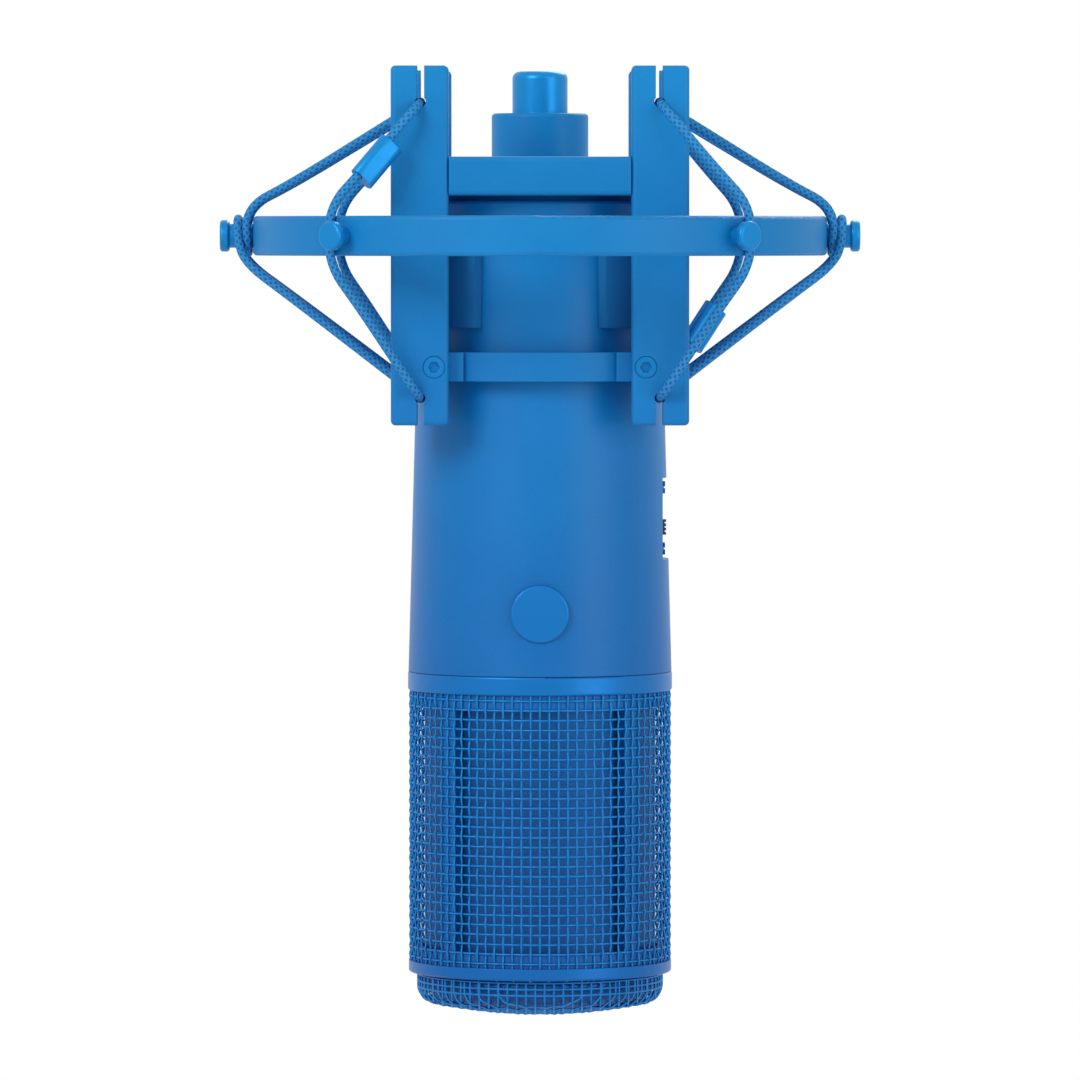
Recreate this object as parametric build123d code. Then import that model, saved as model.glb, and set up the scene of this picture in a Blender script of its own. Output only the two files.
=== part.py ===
from build123d import *
import math
import os

# A side-address condenser microphone hanging head down in an elastic shock mount.
# Millimetres, +Z up, front towards -Y.  Everything is drawn about the axis of the
# microphone, with z = 0 in the middle plane of the mount's ring, and is then moved so
# that the origin is the mouth of the stand thread at the top of the stand head.

# Ring of the shock mount
RING_RADIUS = 60.0
RING_WALL = 3.2
RING_HEIGHT = 8.2
RING_EDGE = 0.8
END_PEG_SHAFT = 2.5
END_PEG_FLANGE = 3.3
END_PEG_SEAT = 4.9
PEG_FLANGE_THICK = 2.0
CORNER_PEG_SHAFT = 1.9
CORNER_PEG_FLANGE = 3.0
CORNER_PEG_SEAT = 2.4
CORNER_ANGLE = 48.0
RIVET_RADIUS = 1.3
RIVET_HEAD = 2.1
RIVET_HEAD_THICK = 0.8

# Cradle that the elastics carry
POST_SPREAD_X = 24.75
POST_SPREAD_Y = 26.5
POST_WIDTH = 11.9
POST_DEPTH = 10.0
POST_TOP = 35.0
POST_BOTTOM = -39.0
SLOT_WIDTH = 1.5
SLOT_X = 24.55
SLOT_TOP_Z = 27.5
SLOT_BOTTOM_Z = -33.5
PLATE_TOP = 16.3
PLATE_THICK = 8.0
RECESS_GAP = 1.0
RECESS_DEPTH = 4.8
HOOP_WALL = 3.0
HOOP_HEIGHT = 6.0
HOOP_Z = -27.0
LUG_REACH = 6.0
PAD_HEIGHT = 16.0
PAD_Z = -11.0
PAD_SWEEP = 26.0
WASHER_THICK = 1.0

# Elastic cord
CORD = 1.9
CORD_GAP = 0.15
EDGE_GAP = 0.15

# Stand head and tilt joint
PIVOT_OUT = 13.0
PIVOT_Z = 0.0
SOCKET_RADIUS = 10.5
SOCKET_TOP = 26.6
SOCKET_BOTTOM = 12.0
SOCKET_THREAD = 7.3
SOCKET_THREAD_DEPTH = 12.0
NECK_RADIUS = 6.0
NECK_HEIGHT = 9.1
STAND_THREAD = 3.97
STAND_THREAD_DEPTH = 16.0
TONGUE_HALF = 4.0
TONGUE_EYE = 7.0
FRICTION_THICK = 0.6
CHEEK_THICK = 4.0
CHEEK_EYE = 7.5
BRACKET_HALF_WIDTH = 13.0
BRACKET_HEIGHT = 10.0
BRACKET_BASE = 4.0
LOWEST_TILT = 30.0
RELIEF_GAP = 0.4
BOLT_RADIUS = 3.0
BOLT_HEAD_ACROSS = 10.0
BOLT_HEAD_THICK = 4.0
PLAIN_WASHER_THICK = 0.7
PLAIN_WASHER_RADIUS = 6.2
KNOB_RADIUS = 8.0
KNOB_LENGTH = 13.0
KNOB_GROOVES = 12
KNOB_GROOVE_RADIUS = 1.1

# Microphone body
BODY_TOP = 7.3
BASE_RADIUS = 25.0
HEAD_RADIUS = 27.55
BASE_THICK = 3.0
BODY_END = -91.0
BODY_WALL = 2.2
THREAD_NECK_RADIUS = 13.0
THREAD_NECK_TOP = 16.0
SKIRT_DEPTH = 9.3
SKIRT_WALL = 2.2
LOCK_RING_RADIUS = 18.4
LOCK_RING_HEIGHT = 4.3
LOCK_RING_NOTCHES = 24
LOCK_RING_NOTCH = 0.9
CONNECTOR_BORE = 8.0
CONNECTOR_WALL = 1.4
CONNECTOR_DEPTH = 15.0
INSERT_THICK = 5.0
PIN_RADIUS = 1.2
PIN_CIRCLE = 4.2
PIN_HEIGHT = 11.0
PIN_TAIL = 4.0
FLAT_TOP = -50.5
FLAT_BOTTOM = -67.5
FLAT_DEPTH = 1.1
SWITCH_TRAVEL = 3.8
SLIDER_WIDTH = 3.0
SLIDER_HEIGHT = 3.2
BADGE_RADIUS = 6.0
BADGE_Z = -78.0
BADGE_PROUD = 0.7

# Inside the body
RAIL_INSET = 1.5
RAIL_DEEP = 2.5
RAIL_WIDE = 5.0
BOARD_THICK = 1.6
BOARD_OFFSET = 1.0
BOARD_TOP = -14.0
BOARD_BOTTOM = -84.0

# Head of the microphone
COLLAR_PROUD = 0.1
COLLAR_HEIGHT = 4.0
COLLAR_SPIGOT = 7.0
COLLAR_WALL = 5.55
LEDGE_WIDTH = 1.5
LEDGE_THICK = 3.0
FLOOR_THICK = 2.0
MESH_INSET = 0.05
MESH_WALL = 0.7
FRAME_WALL = 2.0
FRAME_RING = 3.0
FRAME_RIB = 4.0
END_RING_TOP = -151.5
END_RING_BOTTOM = -154.0
CAP_STEP = 1.5
CAP_SIDE = 3.2
CAP_CORNER = 3.5
CAP_BOTTOM = -163.0
CAP_WALL = 0.8
INNER_MESH_INSET = 3.3
INNER_MESH_WALL = 0.4
CAPSULE_Z = -126.0
CAPSULE_RADIUS = 17.0
CAPSULE_HALF = 2.9
HOUSING_WALL = 1.4
BACKPLATE_HALF = 2.5
DIAPHRAGM_THICK = 0.3
CLAMP_WIDTH = 3.0
CLAMP_THICK = 1.8
CLAMP_SCREWS = 8
SADDLE_WALL = 1.9
SADDLE_HALF = 3.5
SADDLE_POST = 4.0
SADDLE_FOOT = 7.0
SADDLE_FOOT_THICK = 2.0
ISOLATOR_THICK = 4.0
LEAD_RADIUS = 0.45
LEAD_X = 10.0
LEAD_Y = 6.5

# Clearances
SEAT_GAP = 0.05
RUN_FIT = 0.1
FREE_GAP = 0.3

# Screws
SCREW_RADIUS = 1.5
SCREW_HEAD = 2.75
SCREW_HEAD_THICK = 1.8
SMALL_SCREW = 0.8
SMALL_HEAD = 1.3
SMALL_HEAD_THICK = 0.8

REACH = RING_RADIUS + PIVOT_OUT
RECESS_RADIUS = LOCK_RING_RADIUS + RECESS_GAP
RAIL_OUTER = BASE_RADIUS - BODY_WALL - RAIL_INSET
COLLAR_RADIUS = HEAD_RADIUS + COLLAR_PROUD
COLLAR_BORE = HEAD_RADIUS - COLLAR_WALL
LEDGE_BORE = COLLAR_BORE - LEDGE_WIDTH
MESH_RADIUS = HEAD_RADIUS - MESH_INSET
CAP_RADIUS = MESH_RADIUS - CAP_STEP
INNER_MESH_RADIUS = MESH_RADIUS - INNER_MESH_INSET
RING_BORE = RING_RADIUS - RING_WALL
CORD_RADIUS = CORD / 2
HALF_RING = RING_HEIGHT / 2
LANE = RING_RADIUS + CORD_RADIUS + CORD_GAP / 2
OUTER_LANE = LANE + CORD + CORD_GAP
OVER_EDGE = CORD_RADIUS + EDGE_GAP
EDGE_Z = HALF_RING + OVER_EDGE
PLATE_BOTTOM = PLATE_TOP - PLATE_THICK
POST_INNER_X = POST_SPREAD_X - POST_WIDTH / 2
POST_OUTER_X = POST_SPREAD_X + POST_WIDTH / 2
POST_INNER_Y = POST_SPREAD_Y - POST_DEPTH / 2
POST_OUTER_Y = POST_SPREAD_Y + POST_DEPTH / 2
POST_CORNER = math.hypot(POST_INNER_X, POST_INNER_Y)
HEAD_TOP = SOCKET_TOP + NECK_HEIGHT
TUBE_TOP = BODY_TOP - BASE_THICK
CHEEK_INNER = TONGUE_HALF + FRICTION_THICK + 3 * SEAT_GAP
CHEEK_OUTER = CHEEK_INNER + CHEEK_THICK
KNOB_START = CHEEK_OUTER + PLAIN_WASHER_THICK + 2 * SEAT_GAP
COLLAR_BOTTOM = BODY_END - COLLAR_HEIGHT
FLOOR_TOP = COLLAR_BOTTOM + LEDGE_THICK + FLOOR_THICK
FLOOR_BOTTOM = COLLAR_BOTTOM + LEDGE_THICK
FLAT_MIDDLE = (FLAT_TOP + FLAT_BOTTOM) / 2
FRAME_OUTER = MESH_RADIUS - MESH_WALL - SEAT_GAP


def taper_radius(z):
    """Outer radius of the body tube at height z."""
    share = (TUBE_TOP - z) / (TUBE_TOP - BODY_END)
    return BASE_RADIUS + (HEAD_RADIUS - BASE_RADIUS) * share


FLAT_X = taper_radius(FLAT_MIDDLE) - FLAT_DEPTH


def rod(radius, bottom, top, x=0.0, y=0.0):
    """Upright cylinder between two heights."""
    return Pos(x, y, (bottom + top) / 2) * Cylinder(radius, top - bottom)


def pipe(outer, inner, bottom, top):
    """Upright round tube between two heights."""
    return rod(outer, bottom, top) - rod(inner, bottom - 1, top + 1)


def block(x_range, y_range, z_range):
    """Box from its three ranges."""
    size = [high - low for low, high in (x_range, y_range, z_range)]
    middle = [(high + low) / 2 for low, high in (x_range, y_range, z_range)]
    return Pos(*middle) * Box(*size)


def rod_x(radius, start, end, y=0.0, z=0.0):
    """Cylinder along X."""
    middle = (start + end) / 2
    return Pos(middle, y, z) * Rot(0, 90, 0) * Cylinder(radius, abs(end - start))


def rod_y(radius, start, end, x=0.0, z=0.0):
    """Cylinder along Y."""
    middle = (start + end) / 2
    return Pos(x, middle, z) * Rot(90, 0, 0) * Cylinder(radius, abs(end - start))


def radial_rod(radius, start, end, angle, z=0.0):
    """Cylinder pointing out from the axis at an angle from +X."""
    return Rot(0, 0, angle) * rod_x(radius, start, end, 0, z)


def turned(points):
    """Solid of revolution of a closed outline given as (radius, z) points."""
    outline = Polyline(*[(r, 0, z) for r, z in points], close=True)
    return revolve(make_face(outline), Axis.Z)


def circle_edges(shape, radius, z):
    """Circular edges of one radius at one height."""
    found = []
    for edge in shape.edges().filter_by(GeomType.CIRCLE):
        at_height = abs(edge.arc_center.Z - z) < 0.01
        if at_height and abs(edge.radius - radius) < 0.01:
            found.append(edge)
    return found


def save(name, shape):
    """Move a piece to the stand thread's frame and write it."""
    placed = Pos(0, -REACH, -HEAD_TOP) * shape
    placed.label = name
    export_step(placed, "parts/" + name + ".step")


# ---- ring ------------------------------------------------------------------

PEG_ANGLES = [CORNER_ANGLE, 180 - CORNER_ANGLE, 180 + CORNER_ANGLE, -CORNER_ANGLE]
BRACKET_SCREW_X = BRACKET_HALF_WIDTH - 2.9


def bracket_screw_angle(side):
    return 90 - side * math.degrees(math.asin(BRACKET_SCREW_X / RING_RADIUS))


def outer_ring():
    ring = pipe(RING_RADIUS, RING_BORE, -HALF_RING, HALF_RING)
    edges = circle_edges(ring, RING_RADIUS, HALF_RING) + circle_edges(ring, RING_RADIUS, -HALF_RING)
    edges += circle_edges(ring, RING_BORE, HALF_RING) + circle_edges(ring, RING_BORE, -HALF_RING)
    ring = fillet(edges, RING_EDGE)
    for angle in PEG_ANGLES + [0, 180]:
        ring -= radial_rod(RIVET_RADIUS + SEAT_GAP, RING_BORE - 2, RING_RADIUS + 2, angle)
        ring -= radial_rod(RIVET_HEAD + SEAT_GAP, RING_BORE - 3, RING_BORE + RIVET_HEAD_THICK, angle)
    for side in (-1, 1):
        angle = bracket_screw_angle(side)
        ring -= radial_rod(SCREW_RADIUS + SEAT_GAP, RING_BORE - 2, RING_RADIUS + 2, angle)
        ring -= radial_rod(SCREW_HEAD + SEAT_GAP, RING_BORE - 3, RING_BORE + SCREW_HEAD_THICK, angle)
    return ring


def peg(shaft, flange, seat, angle):
    """Riveted peg that an elastic hooks on."""
    foot = math.sqrt(RING_RADIUS ** 2 - shaft ** 2)
    body = rod_x(shaft, foot, RING_RADIUS + seat)
    cap = rod_x(flange, RING_RADIUS + seat, RING_RADIUS + seat + PEG_FLANGE_THICK)
    cap = fillet(cap.edges().filter_by(GeomType.CIRCLE), min(0.6, PEG_FLANGE_THICK / 3))
    body = body + cap
    body -= rod(RING_RADIUS, -flange - 1, flange + 1)
    body += rod_x(RIVET_RADIUS, RING_BORE + RIVET_HEAD_THICK / 2, foot + 0.5)
    body += rod_x(RIVET_HEAD, RING_BORE - RIVET_HEAD_THICK / 2, RING_BORE + RIVET_HEAD_THICK)
    return Rot(0, 0, angle) * body


def ring_bracket():
    half = BRACKET_HEIGHT / 2
    back = RING_RADIUS + BRACKET_BASE
    base = block((-BRACKET_HALF_WIDTH, BRACKET_HALF_WIDTH), (RING_RADIUS - 6, back), (-half, half))
    base = fillet(base.edges().filter_by(Axis.Y), 2.0)
    bracket = base
    for side in (-1, 1):
        near, far = sorted((side * CHEEK_INNER, side * CHEEK_OUTER))
        bracket += block((near, far), (back - 1, REACH), (PIVOT_Z - half, PIVOT_Z + half))
        bracket += rod_x(CHEEK_EYE, near, far, REACH, PIVOT_Z)
    bracket -= rod(RING_RADIUS + SEAT_GAP, -20, 20)
    bracket -= rod_x(BOLT_RADIUS + RUN_FIT, -20, 20, REACH, PIVOT_Z)
    # The tongue leans into the base at the lowest tilt, so its leaning shape is cut away.
    leaning = block(
        (-CHEEK_INNER, CHEEK_INNER),
        (-TONGUE_EYE - RELIEF_GAP, 0),
        (0, SOCKET_BOTTOM),
    )
    bracket -= Pos(0, REACH, PIVOT_Z) * Rot(LOWEST_TILT, 0, 0) * leaning
    for side in (-1, 1):
        angle = bracket_screw_angle(side)
        bracket -= radial_rod(SCREW_RADIUS + SEAT_GAP, RING_RADIUS - 2, back - 0.4, angle)
    return bracket


def bracket_screw(side):
    angle = bracket_screw_angle(side)
    head = radial_rod(SCREW_HEAD, RING_BORE - 0.2, RING_BORE + SCREW_HEAD_THICK, angle)
    shank = radial_rod(SCREW_RADIUS, RING_BORE + 1, RING_RADIUS + BRACKET_BASE - 1.0, angle)
    socket = Rot(0, 0, angle) * Pos(RING_BORE + 0.3, 0, 0) * Rot(0, 90, 0)
    return head + shank - socket * extrude(RegularPolygon(1.3, 6), 1.4, both=True)


# ---- stand head and tilt joint ---------------------------------------------


def stand_socket():
    body = Pos(0, REACH, 0) * rod(SOCKET_RADIUS, SOCKET_BOTTOM, SOCKET_TOP)
    body = fillet(body.edges().filter_by(GeomType.CIRCLE), 0.8)
    tongue = block(
        (-TONGUE_HALF, TONGUE_HALF),
        (REACH - TONGUE_EYE, REACH + TONGUE_EYE),
        (PIVOT_Z, SOCKET_BOTTOM + 1),
    )
    body += tongue + rod_x(TONGUE_EYE, -TONGUE_HALF, TONGUE_HALF, REACH, PIVOT_Z)
    thread_floor = SOCKET_TOP - SOCKET_THREAD_DEPTH
    body -= Pos(0, REACH, 0) * rod(SOCKET_THREAD, thread_floor, SOCKET_TOP + 1)
    body -= rod_x(BOLT_RADIUS + RUN_FIT, -20, 20, REACH, PIVOT_Z)
    return body


def thread_adapter():
    neck = Pos(0, REACH, 0) * rod(NECK_RADIUS, SOCKET_TOP, HEAD_TOP)
    neck = fillet(circle_edges(neck, NECK_RADIUS, HEAD_TOP), 1.6)
    flange_bottom = SOCKET_TOP - SOCKET_THREAD_DEPTH + 1
    plug = Pos(0, REACH, 0) * rod(SOCKET_THREAD - SEAT_GAP, flange_bottom, SOCKET_TOP)
    bore_floor = HEAD_TOP - STAND_THREAD_DEPTH
    return neck + plug - Pos(0, REACH, 0) * rod(STAND_THREAD, bore_floor, HEAD_TOP + 1)


def tilt_bolt():
    head_start = -CHEEK_OUTER - BOLT_HEAD_THICK
    hexagon = RegularPolygon(BOLT_HEAD_ACROSS / math.sqrt(3), 6)
    head = Pos(head_start, REACH, PIVOT_Z) * Rot(0, 90, 0) * extrude(hexagon, BOLT_HEAD_THICK)
    shank = rod_x(BOLT_RADIUS, -CHEEK_OUTER - 0.5, KNOB_START + KNOB_LENGTH - 4, REACH, PIVOT_Z)
    return head + shank


def friction_washer(side):
    near = side * (TONGUE_HALF + SEAT_GAP)
    far = near + side * FRICTION_THICK
    disc = rod_x(TONGUE_EYE - 0.2, near, far, REACH, PIVOT_Z)
    return disc - rod_x(BOLT_RADIUS + RUN_FIT, near - side, far + side, REACH, PIVOT_Z)


def plain_washer():
    near = CHEEK_OUTER + SEAT_GAP
    disc = rod_x(PLAIN_WASHER_RADIUS, near, near + PLAIN_WASHER_THICK, REACH, PIVOT_Z)
    return disc - rod_x(BOLT_RADIUS + RUN_FIT, near - 1, near + 2, REACH, PIVOT_Z)


def tilt_knob():
    end = KNOB_START + KNOB_LENGTH
    knob = rod_x(KNOB_RADIUS, KNOB_START + 2, end, REACH, PIVOT_Z)
    knob = fillet(knob.edges().filter_by(GeomType.CIRCLE), 0.9)
    knob += rod_x(KNOB_RADIUS - 2, KNOB_START, KNOB_START + 4, REACH, PIVOT_Z)
    for index in range(KNOB_GROOVES):
        turn = math.radians(360 / KNOB_GROOVES * index)
        y = REACH + (KNOB_RADIUS + 0.4) * math.cos(turn)
        z = PIVOT_Z + (KNOB_RADIUS + 0.4) * math.sin(turn)
        knob -= rod_x(KNOB_GROOVE_RADIUS, KNOB_START + 1, end + 1, y, z)
    return knob - rod_x(BOLT_RADIUS + RUN_FIT, KNOB_START - 1, end - 3, REACH, PIVOT_Z)


# ---- cradle ----------------------------------------------------------------

CORNERS = [(1, 1), (-1, 1), (-1, -1), (1, -1)]
PLATE_SCREW_Z = (PLATE_TOP + PLATE_BOTTOM) / 2
HOOP_BORE = POST_CORNER - 0.9
HOOP_OUTER = HOOP_BORE + HOOP_WALL
LUG_X = POST_INNER_X + LUG_REACH / 2
LUG_Y = POST_INNER_Y + LUG_REACH


def cradle_post(side_x, side_y):
    """Upright post with a slotted keyhole at each end for the elastic."""
    post = block(
        (POST_INNER_X, POST_OUTER_X), (POST_INNER_Y, POST_OUTER_Y), (POST_BOTTOM, POST_TOP)
    )
    post = fillet(post.edges(), 1.0)
    keyhole = CORD_RADIUS + CORD_GAP
    half_slot = SLOT_WIDTH / 2
    for z, end in ((SLOT_TOP_Z, POST_TOP + 1), (SLOT_BOTTOM_Z, POST_BOTTOM - 1)):
        low, high = sorted((z, end))
        post -= block((SLOT_X - half_slot, SLOT_X + half_slot), (0, 50), (low, high))
        post -= rod_y(keyhole, 0, 50, SLOT_X, z)
    low = HOOP_Z - HOOP_HEIGHT / 2 - SEAT_GAP
    high = HOOP_Z + HOOP_HEIGHT / 2 + SEAT_GAP
    pocket_x = POST_INNER_X + LUG_REACH + SEAT_GAP
    post -= block((0, pocket_x), (0, LUG_Y + SEAT_GAP), (low, high))
    post -= rod_x(SCREW_RADIUS + SEAT_GAP, 0, 50, POST_SPREAD_Y, PLATE_SCREW_Z)
    head_floor_x = POST_OUTER_X - SCREW_HEAD_THICK - 0.3
    post -= rod_x(SCREW_HEAD + SEAT_GAP, head_floor_x, 50, POST_SPREAD_Y, PLATE_SCREW_Z)
    post -= rod_y(SCREW_RADIUS + SEAT_GAP, 0, 50, LUG_X, HOOP_Z)
    head_floor_y = POST_OUTER_Y - SCREW_HEAD_THICK - 0.3
    post -= rod_y(SCREW_HEAD - 0.5 + SEAT_GAP, head_floor_y, 50, LUG_X, HOOP_Z)
    return mirrored(post, side_x, side_y)


def mirrored(shape, side_x, side_y):
    if side_x < 0:
        shape = mirror(shape, Plane.YZ)
    if side_y < 0:
        shape = mirror(shape, Plane.XZ)
    return shape


def cradle_plate():
    arm_x = POST_INNER_X - SEAT_GAP
    arm_y = POST_INNER_Y - SEAT_GAP
    long_y = block((-arm_x, arm_x), (-POST_OUTER_Y, POST_OUTER_Y), (PLATE_BOTTOM, PLATE_TOP))
    long_x = block((-POST_OUTER_X, POST_OUTER_X), (-arm_y, arm_y), (PLATE_BOTTOM, PLATE_TOP))
    plate = fillet(long_y.edges().filter_by(Axis.X), 1.0) + fillet(
        long_x.edges().filter_by(Axis.Y), 1.0
    )
    plate -= rod(RECESS_RADIUS, PLATE_TOP - RECESS_DEPTH, PLATE_TOP + 1)
    plate -= rod(THREAD_NECK_RADIUS + FREE_GAP, PLATE_BOTTOM - 1, PLATE_TOP)
    for side_x, side_y in CORNERS:
        start = side_x * (POST_INNER_X - 7.0)
        plate -= rod_x(
            SCREW_RADIUS + SEAT_GAP, start, side_x * 40, side_y * POST_SPREAD_Y, PLATE_SCREW_Z
        )
    return plate


def plate_screw(side_x, side_y):
    tip = POST_INNER_X - 6.5
    head_start = POST_OUTER_X - SCREW_HEAD_THICK - 0.3
    screw = rod_x(SCREW_RADIUS, tip, head_start + 0.5, POST_SPREAD_Y, PLATE_SCREW_Z)
    head = rod_x(SCREW_HEAD, head_start, POST_OUTER_X - 0.3, POST_SPREAD_Y, PLATE_SCREW_Z)
    socket = Pos(POST_OUTER_X - 0.3, POST_SPREAD_Y, PLATE_SCREW_Z) * Rot(0, 90, 0)
    screw = screw + head - socket * extrude(RegularPolygon(1.3, 6), 1.0, both=True)
    return mirrored(screw, side_x, side_y)


def lower_hoop():
    low = HOOP_Z - HOOP_HEIGHT / 2
    high = HOOP_Z + HOOP_HEIGHT / 2
    hoop = pipe(HOOP_OUTER, HOOP_BORE, low, high)
    for side_x, side_y in CORNERS:
        clearing = block((POST_INNER_X, 60), (POST_INNER_Y, 60), (low - 1, high + 1))
        hoop -= mirrored(clearing, side_x, side_y)
        lug = block(
            (POST_INNER_X - 3, POST_INNER_X + LUG_REACH), (POST_INNER_Y - 3, LUG_Y), (low, high)
        )
        lug -= rod(HOOP_BORE + 0.5, low - 1, high + 1)
        lug -= rod_y(SCREW_RADIUS + SEAT_GAP, POST_INNER_Y + 0.5, 50, LUG_X, HOOP_Z)
        hoop += mirrored(lug, side_x, side_y)
    return hoop


def hoop_screw(side_x, side_y):
    head_start = POST_OUTER_Y - SCREW_HEAD_THICK - 0.3
    screw = rod_y(SCREW_RADIUS, POST_INNER_Y + 1.0, head_start + 0.5, LUG_X, HOOP_Z)
    screw += rod_y(SCREW_HEAD - 0.5, head_start, POST_OUTER_Y - 0.3, LUG_X, HOOP_Z)
    socket = Pos(LUG_X, POST_OUTER_Y - 0.3, HOOP_Z) * Rot(90, 0, 0)
    screw -= socket * extrude(RegularPolygon(1.2, 6), 1.0, both=True)
    return mirrored(screw, side_x, side_y)


def grip_pad(side_x, side_y):
    """Rubber pad between a post's inner corner and the tapered tube."""
    low = PAD_Z - PAD_HEIGHT / 2
    high = PAD_Z + PAD_HEIGHT / 2
    outer = POST_CORNER - SEAT_GAP
    pad = turned([
        (taper_radius(low) + RUN_FIT, low),
        (outer, low),
        (outer, high),
        (taper_radius(high) + RUN_FIT, high),
    ])
    middle = math.degrees(math.atan2(POST_INNER_Y, POST_INNER_X))
    half = math.radians(PAD_SWEEP / 2)
    reach = 60.0
    wedge = Polyline(
        (0, 0),
        (reach * math.cos(half), reach * math.sin(half)),
        (reach * math.cos(half), -reach * math.sin(half)),
        close=True,
    )
    sector = Pos(0, 0, low - 1) * extrude(make_face(wedge), PAD_HEIGHT + 2)
    return mirrored(pad & (Rot(0, 0, middle) * sector), side_x, side_y)


def base_washer():
    return pipe(BASE_RADIUS - 2, THREAD_NECK_RADIUS + FREE_GAP, BODY_TOP, BODY_TOP + WASHER_THICK)


def lock_ring():
    floor = PLATE_TOP - RECESS_DEPTH
    ring = pipe(LOCK_RING_RADIUS, THREAD_NECK_RADIUS + RUN_FIT, floor, floor + LOCK_RING_HEIGHT)
    for index in range(LOCK_RING_NOTCHES):
        turn = math.radians(360 / LOCK_RING_NOTCHES * index)
        x = (LOCK_RING_RADIUS + 0.2) * math.cos(turn)
        y = (LOCK_RING_RADIUS + 0.2) * math.sin(turn)
        ring -= rod(LOCK_RING_NOTCH, floor + 1.2, floor + LOCK_RING_HEIGHT + 1, x, y)
    return ring


# ---- elastics --------------------------------------------------------------

PEG_WRAP = END_PEG_SHAFT + CORD_RADIUS + CORD_GAP / 2
CORNER_WRAP = CORNER_PEG_SHAFT + CORD_RADIUS + CORD_GAP
SLOT_EXIT = 1.5
EDGE_BEND = 3.0
SIDE_GAP = 0.6
SIDE_STEP = CORD + SIDE_GAP
SLOT_BEND = 2.0


def corner_xy():
    """Place, at the front right, where a strand passes outside the ring beside its peg."""
    turn = math.radians(CORNER_ANGLE)
    x = LANE * math.cos(turn) + CORNER_WRAP * math.sin(turn)
    y = -LANE * math.sin(turn) + CORNER_WRAP * math.cos(turn)
    return x, y


def upper_route():
    x, y = corner_xy()
    front = POST_OUTER_Y + SLOT_EXIT
    back = POST_INNER_Y - SLOT_EXIT
    half = [
        (x, y, 0),
        (x, y, EDGE_Z),
        (SLOT_X, -front, SLOT_TOP_Z),
        (SLOT_X, -back, SLOT_TOP_Z),
        (LANE, -PEG_WRAP, EDGE_Z),
        (LANE, -PEG_WRAP, -PEG_WRAP),
    ]
    bends = [EDGE_BEND, SLOT_BEND, SLOT_BEND, EDGE_BEND, PEG_WRAP - 0.02]
    return half, bends


def lower_route():
    x, y = corner_xy()
    front = POST_OUTER_Y + SLOT_EXIT
    back = POST_INNER_Y - SLOT_EXIT
    half = [
        (x, y, 0),
        (x, y, -EDGE_Z),
        (SLOT_X, -front, SLOT_BOTTOM_Z),
        (SLOT_X, -back, SLOT_BOTTOM_Z),
        (LANE, -PEG_WRAP - SIDE_STEP, -EDGE_Z),
        (OUTER_LANE, -PEG_WRAP, -1.0),
        (OUTER_LANE, -PEG_WRAP, PEG_WRAP),
    ]
    bends = [EDGE_BEND, SLOT_BEND, SLOT_BEND, 5.0, EDGE_BEND, PEG_WRAP - 0.02]
    return half, bends


def elastic(route, side):
    """Round cord along a route that is the same behind the ring's X axis as before it."""
    half, bends = route
    points = half + [(x, -y, z) for x, y, z in reversed(half)]
    points = [(side * x, y, z) for x, y, z in points]
    path = FilletPolyline(*points, radius=bends + bends[::-1])
    section = Plane(origin=path @ 0, z_dir=path % 0) * Circle(CORD_RADIUS)
    cord = sweep(section, path=path)
    print("elastic", round(path.length, 1), round(cord.volume / path.length / CORD_RADIUS ** 2, 4))
    return cord


CRIMP_LENGTH = 10.0
CRIMP_WIDE = 5.6
CRIMP_THICK = 3.2


def crimp(start, end, share):
    """Sleeve that joins the two ends of a loop side by side."""
    start, end = Vector(*start), Vector(*end)
    along = (end - start).normalized()
    middle = start + (end - start) * share
    across = Vector(0, 0, 1).cross(along).cross(along).normalized()
    plane = Plane(origin=middle, x_dir=across, z_dir=along)
    outline = SlotOverall(CRIMP_WIDE, CRIMP_THICK)
    sleeve = extrude(outline, CRIMP_LENGTH / 2, both=True)
    offset = CORD_RADIUS + 0.1
    sleeve = Pos(offset, 0, 0) * sleeve
    hole = Cylinder(CORD_RADIUS + SEAT_GAP, CRIMP_LENGTH + 2)
    sleeve -= hole
    sleeve -= Pos(2 * offset, 0, CRIMP_LENGTH / 2 - 2) * Cylinder(CORD_RADIUS, 5)
    return plane.location * sleeve


# ---- microphone body -------------------------------------------------------


def body_tube():
    top, bottom = TUBE_TOP, BODY_END
    tube = turned([
        (BASE_RADIUS - BODY_WALL, top),
        (BASE_RADIUS, top),
        (HEAD_RADIUS, bottom),
        (HEAD_RADIUS - BODY_WALL, bottom),
    ])
    tube -= block((FLAT_X, 40), (-20, 20), (FLAT_BOTTOM, FLAT_TOP))
    slot_half = SLIDER_HEIGHT / 2 + SWITCH_TRAVEL / 2 + FREE_GAP
    width = SLIDER_WIDTH / 2 + FREE_GAP / 2
    slot = block((20, 40), (-width, width), (FLAT_MIDDLE - slot_half, FLAT_MIDDLE + slot_half))
    tube -= slot
    for z in switch_screw_heights():
        tube -= rod_x(SMALL_SCREW + SEAT_GAP, 20, 40, 0, z)
    for angle in BASE_SCREW_ANGLES:
        near = BASE_RADIUS - BODY_WALL - CUT_PAST
        far = HEAD_RADIUS + CUT_PAST
        tube -= radial_rod(SMALL_HEAD + SEAT_GAP, near, far, angle, BASE_SCREW_Z)
    return tube


CUT_PAST = 1.0
BASE_SCREW_ANGLES = [90, 210, 330]
BASE_SCREW_Z = TUBE_TOP - 4.0


def switch_screw_heights():
    reach = (FLAT_TOP - FLAT_BOTTOM) / 2 - SMALL_HEAD - 0.8
    return (FLAT_MIDDLE - reach, FLAT_MIDDLE + reach)


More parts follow.
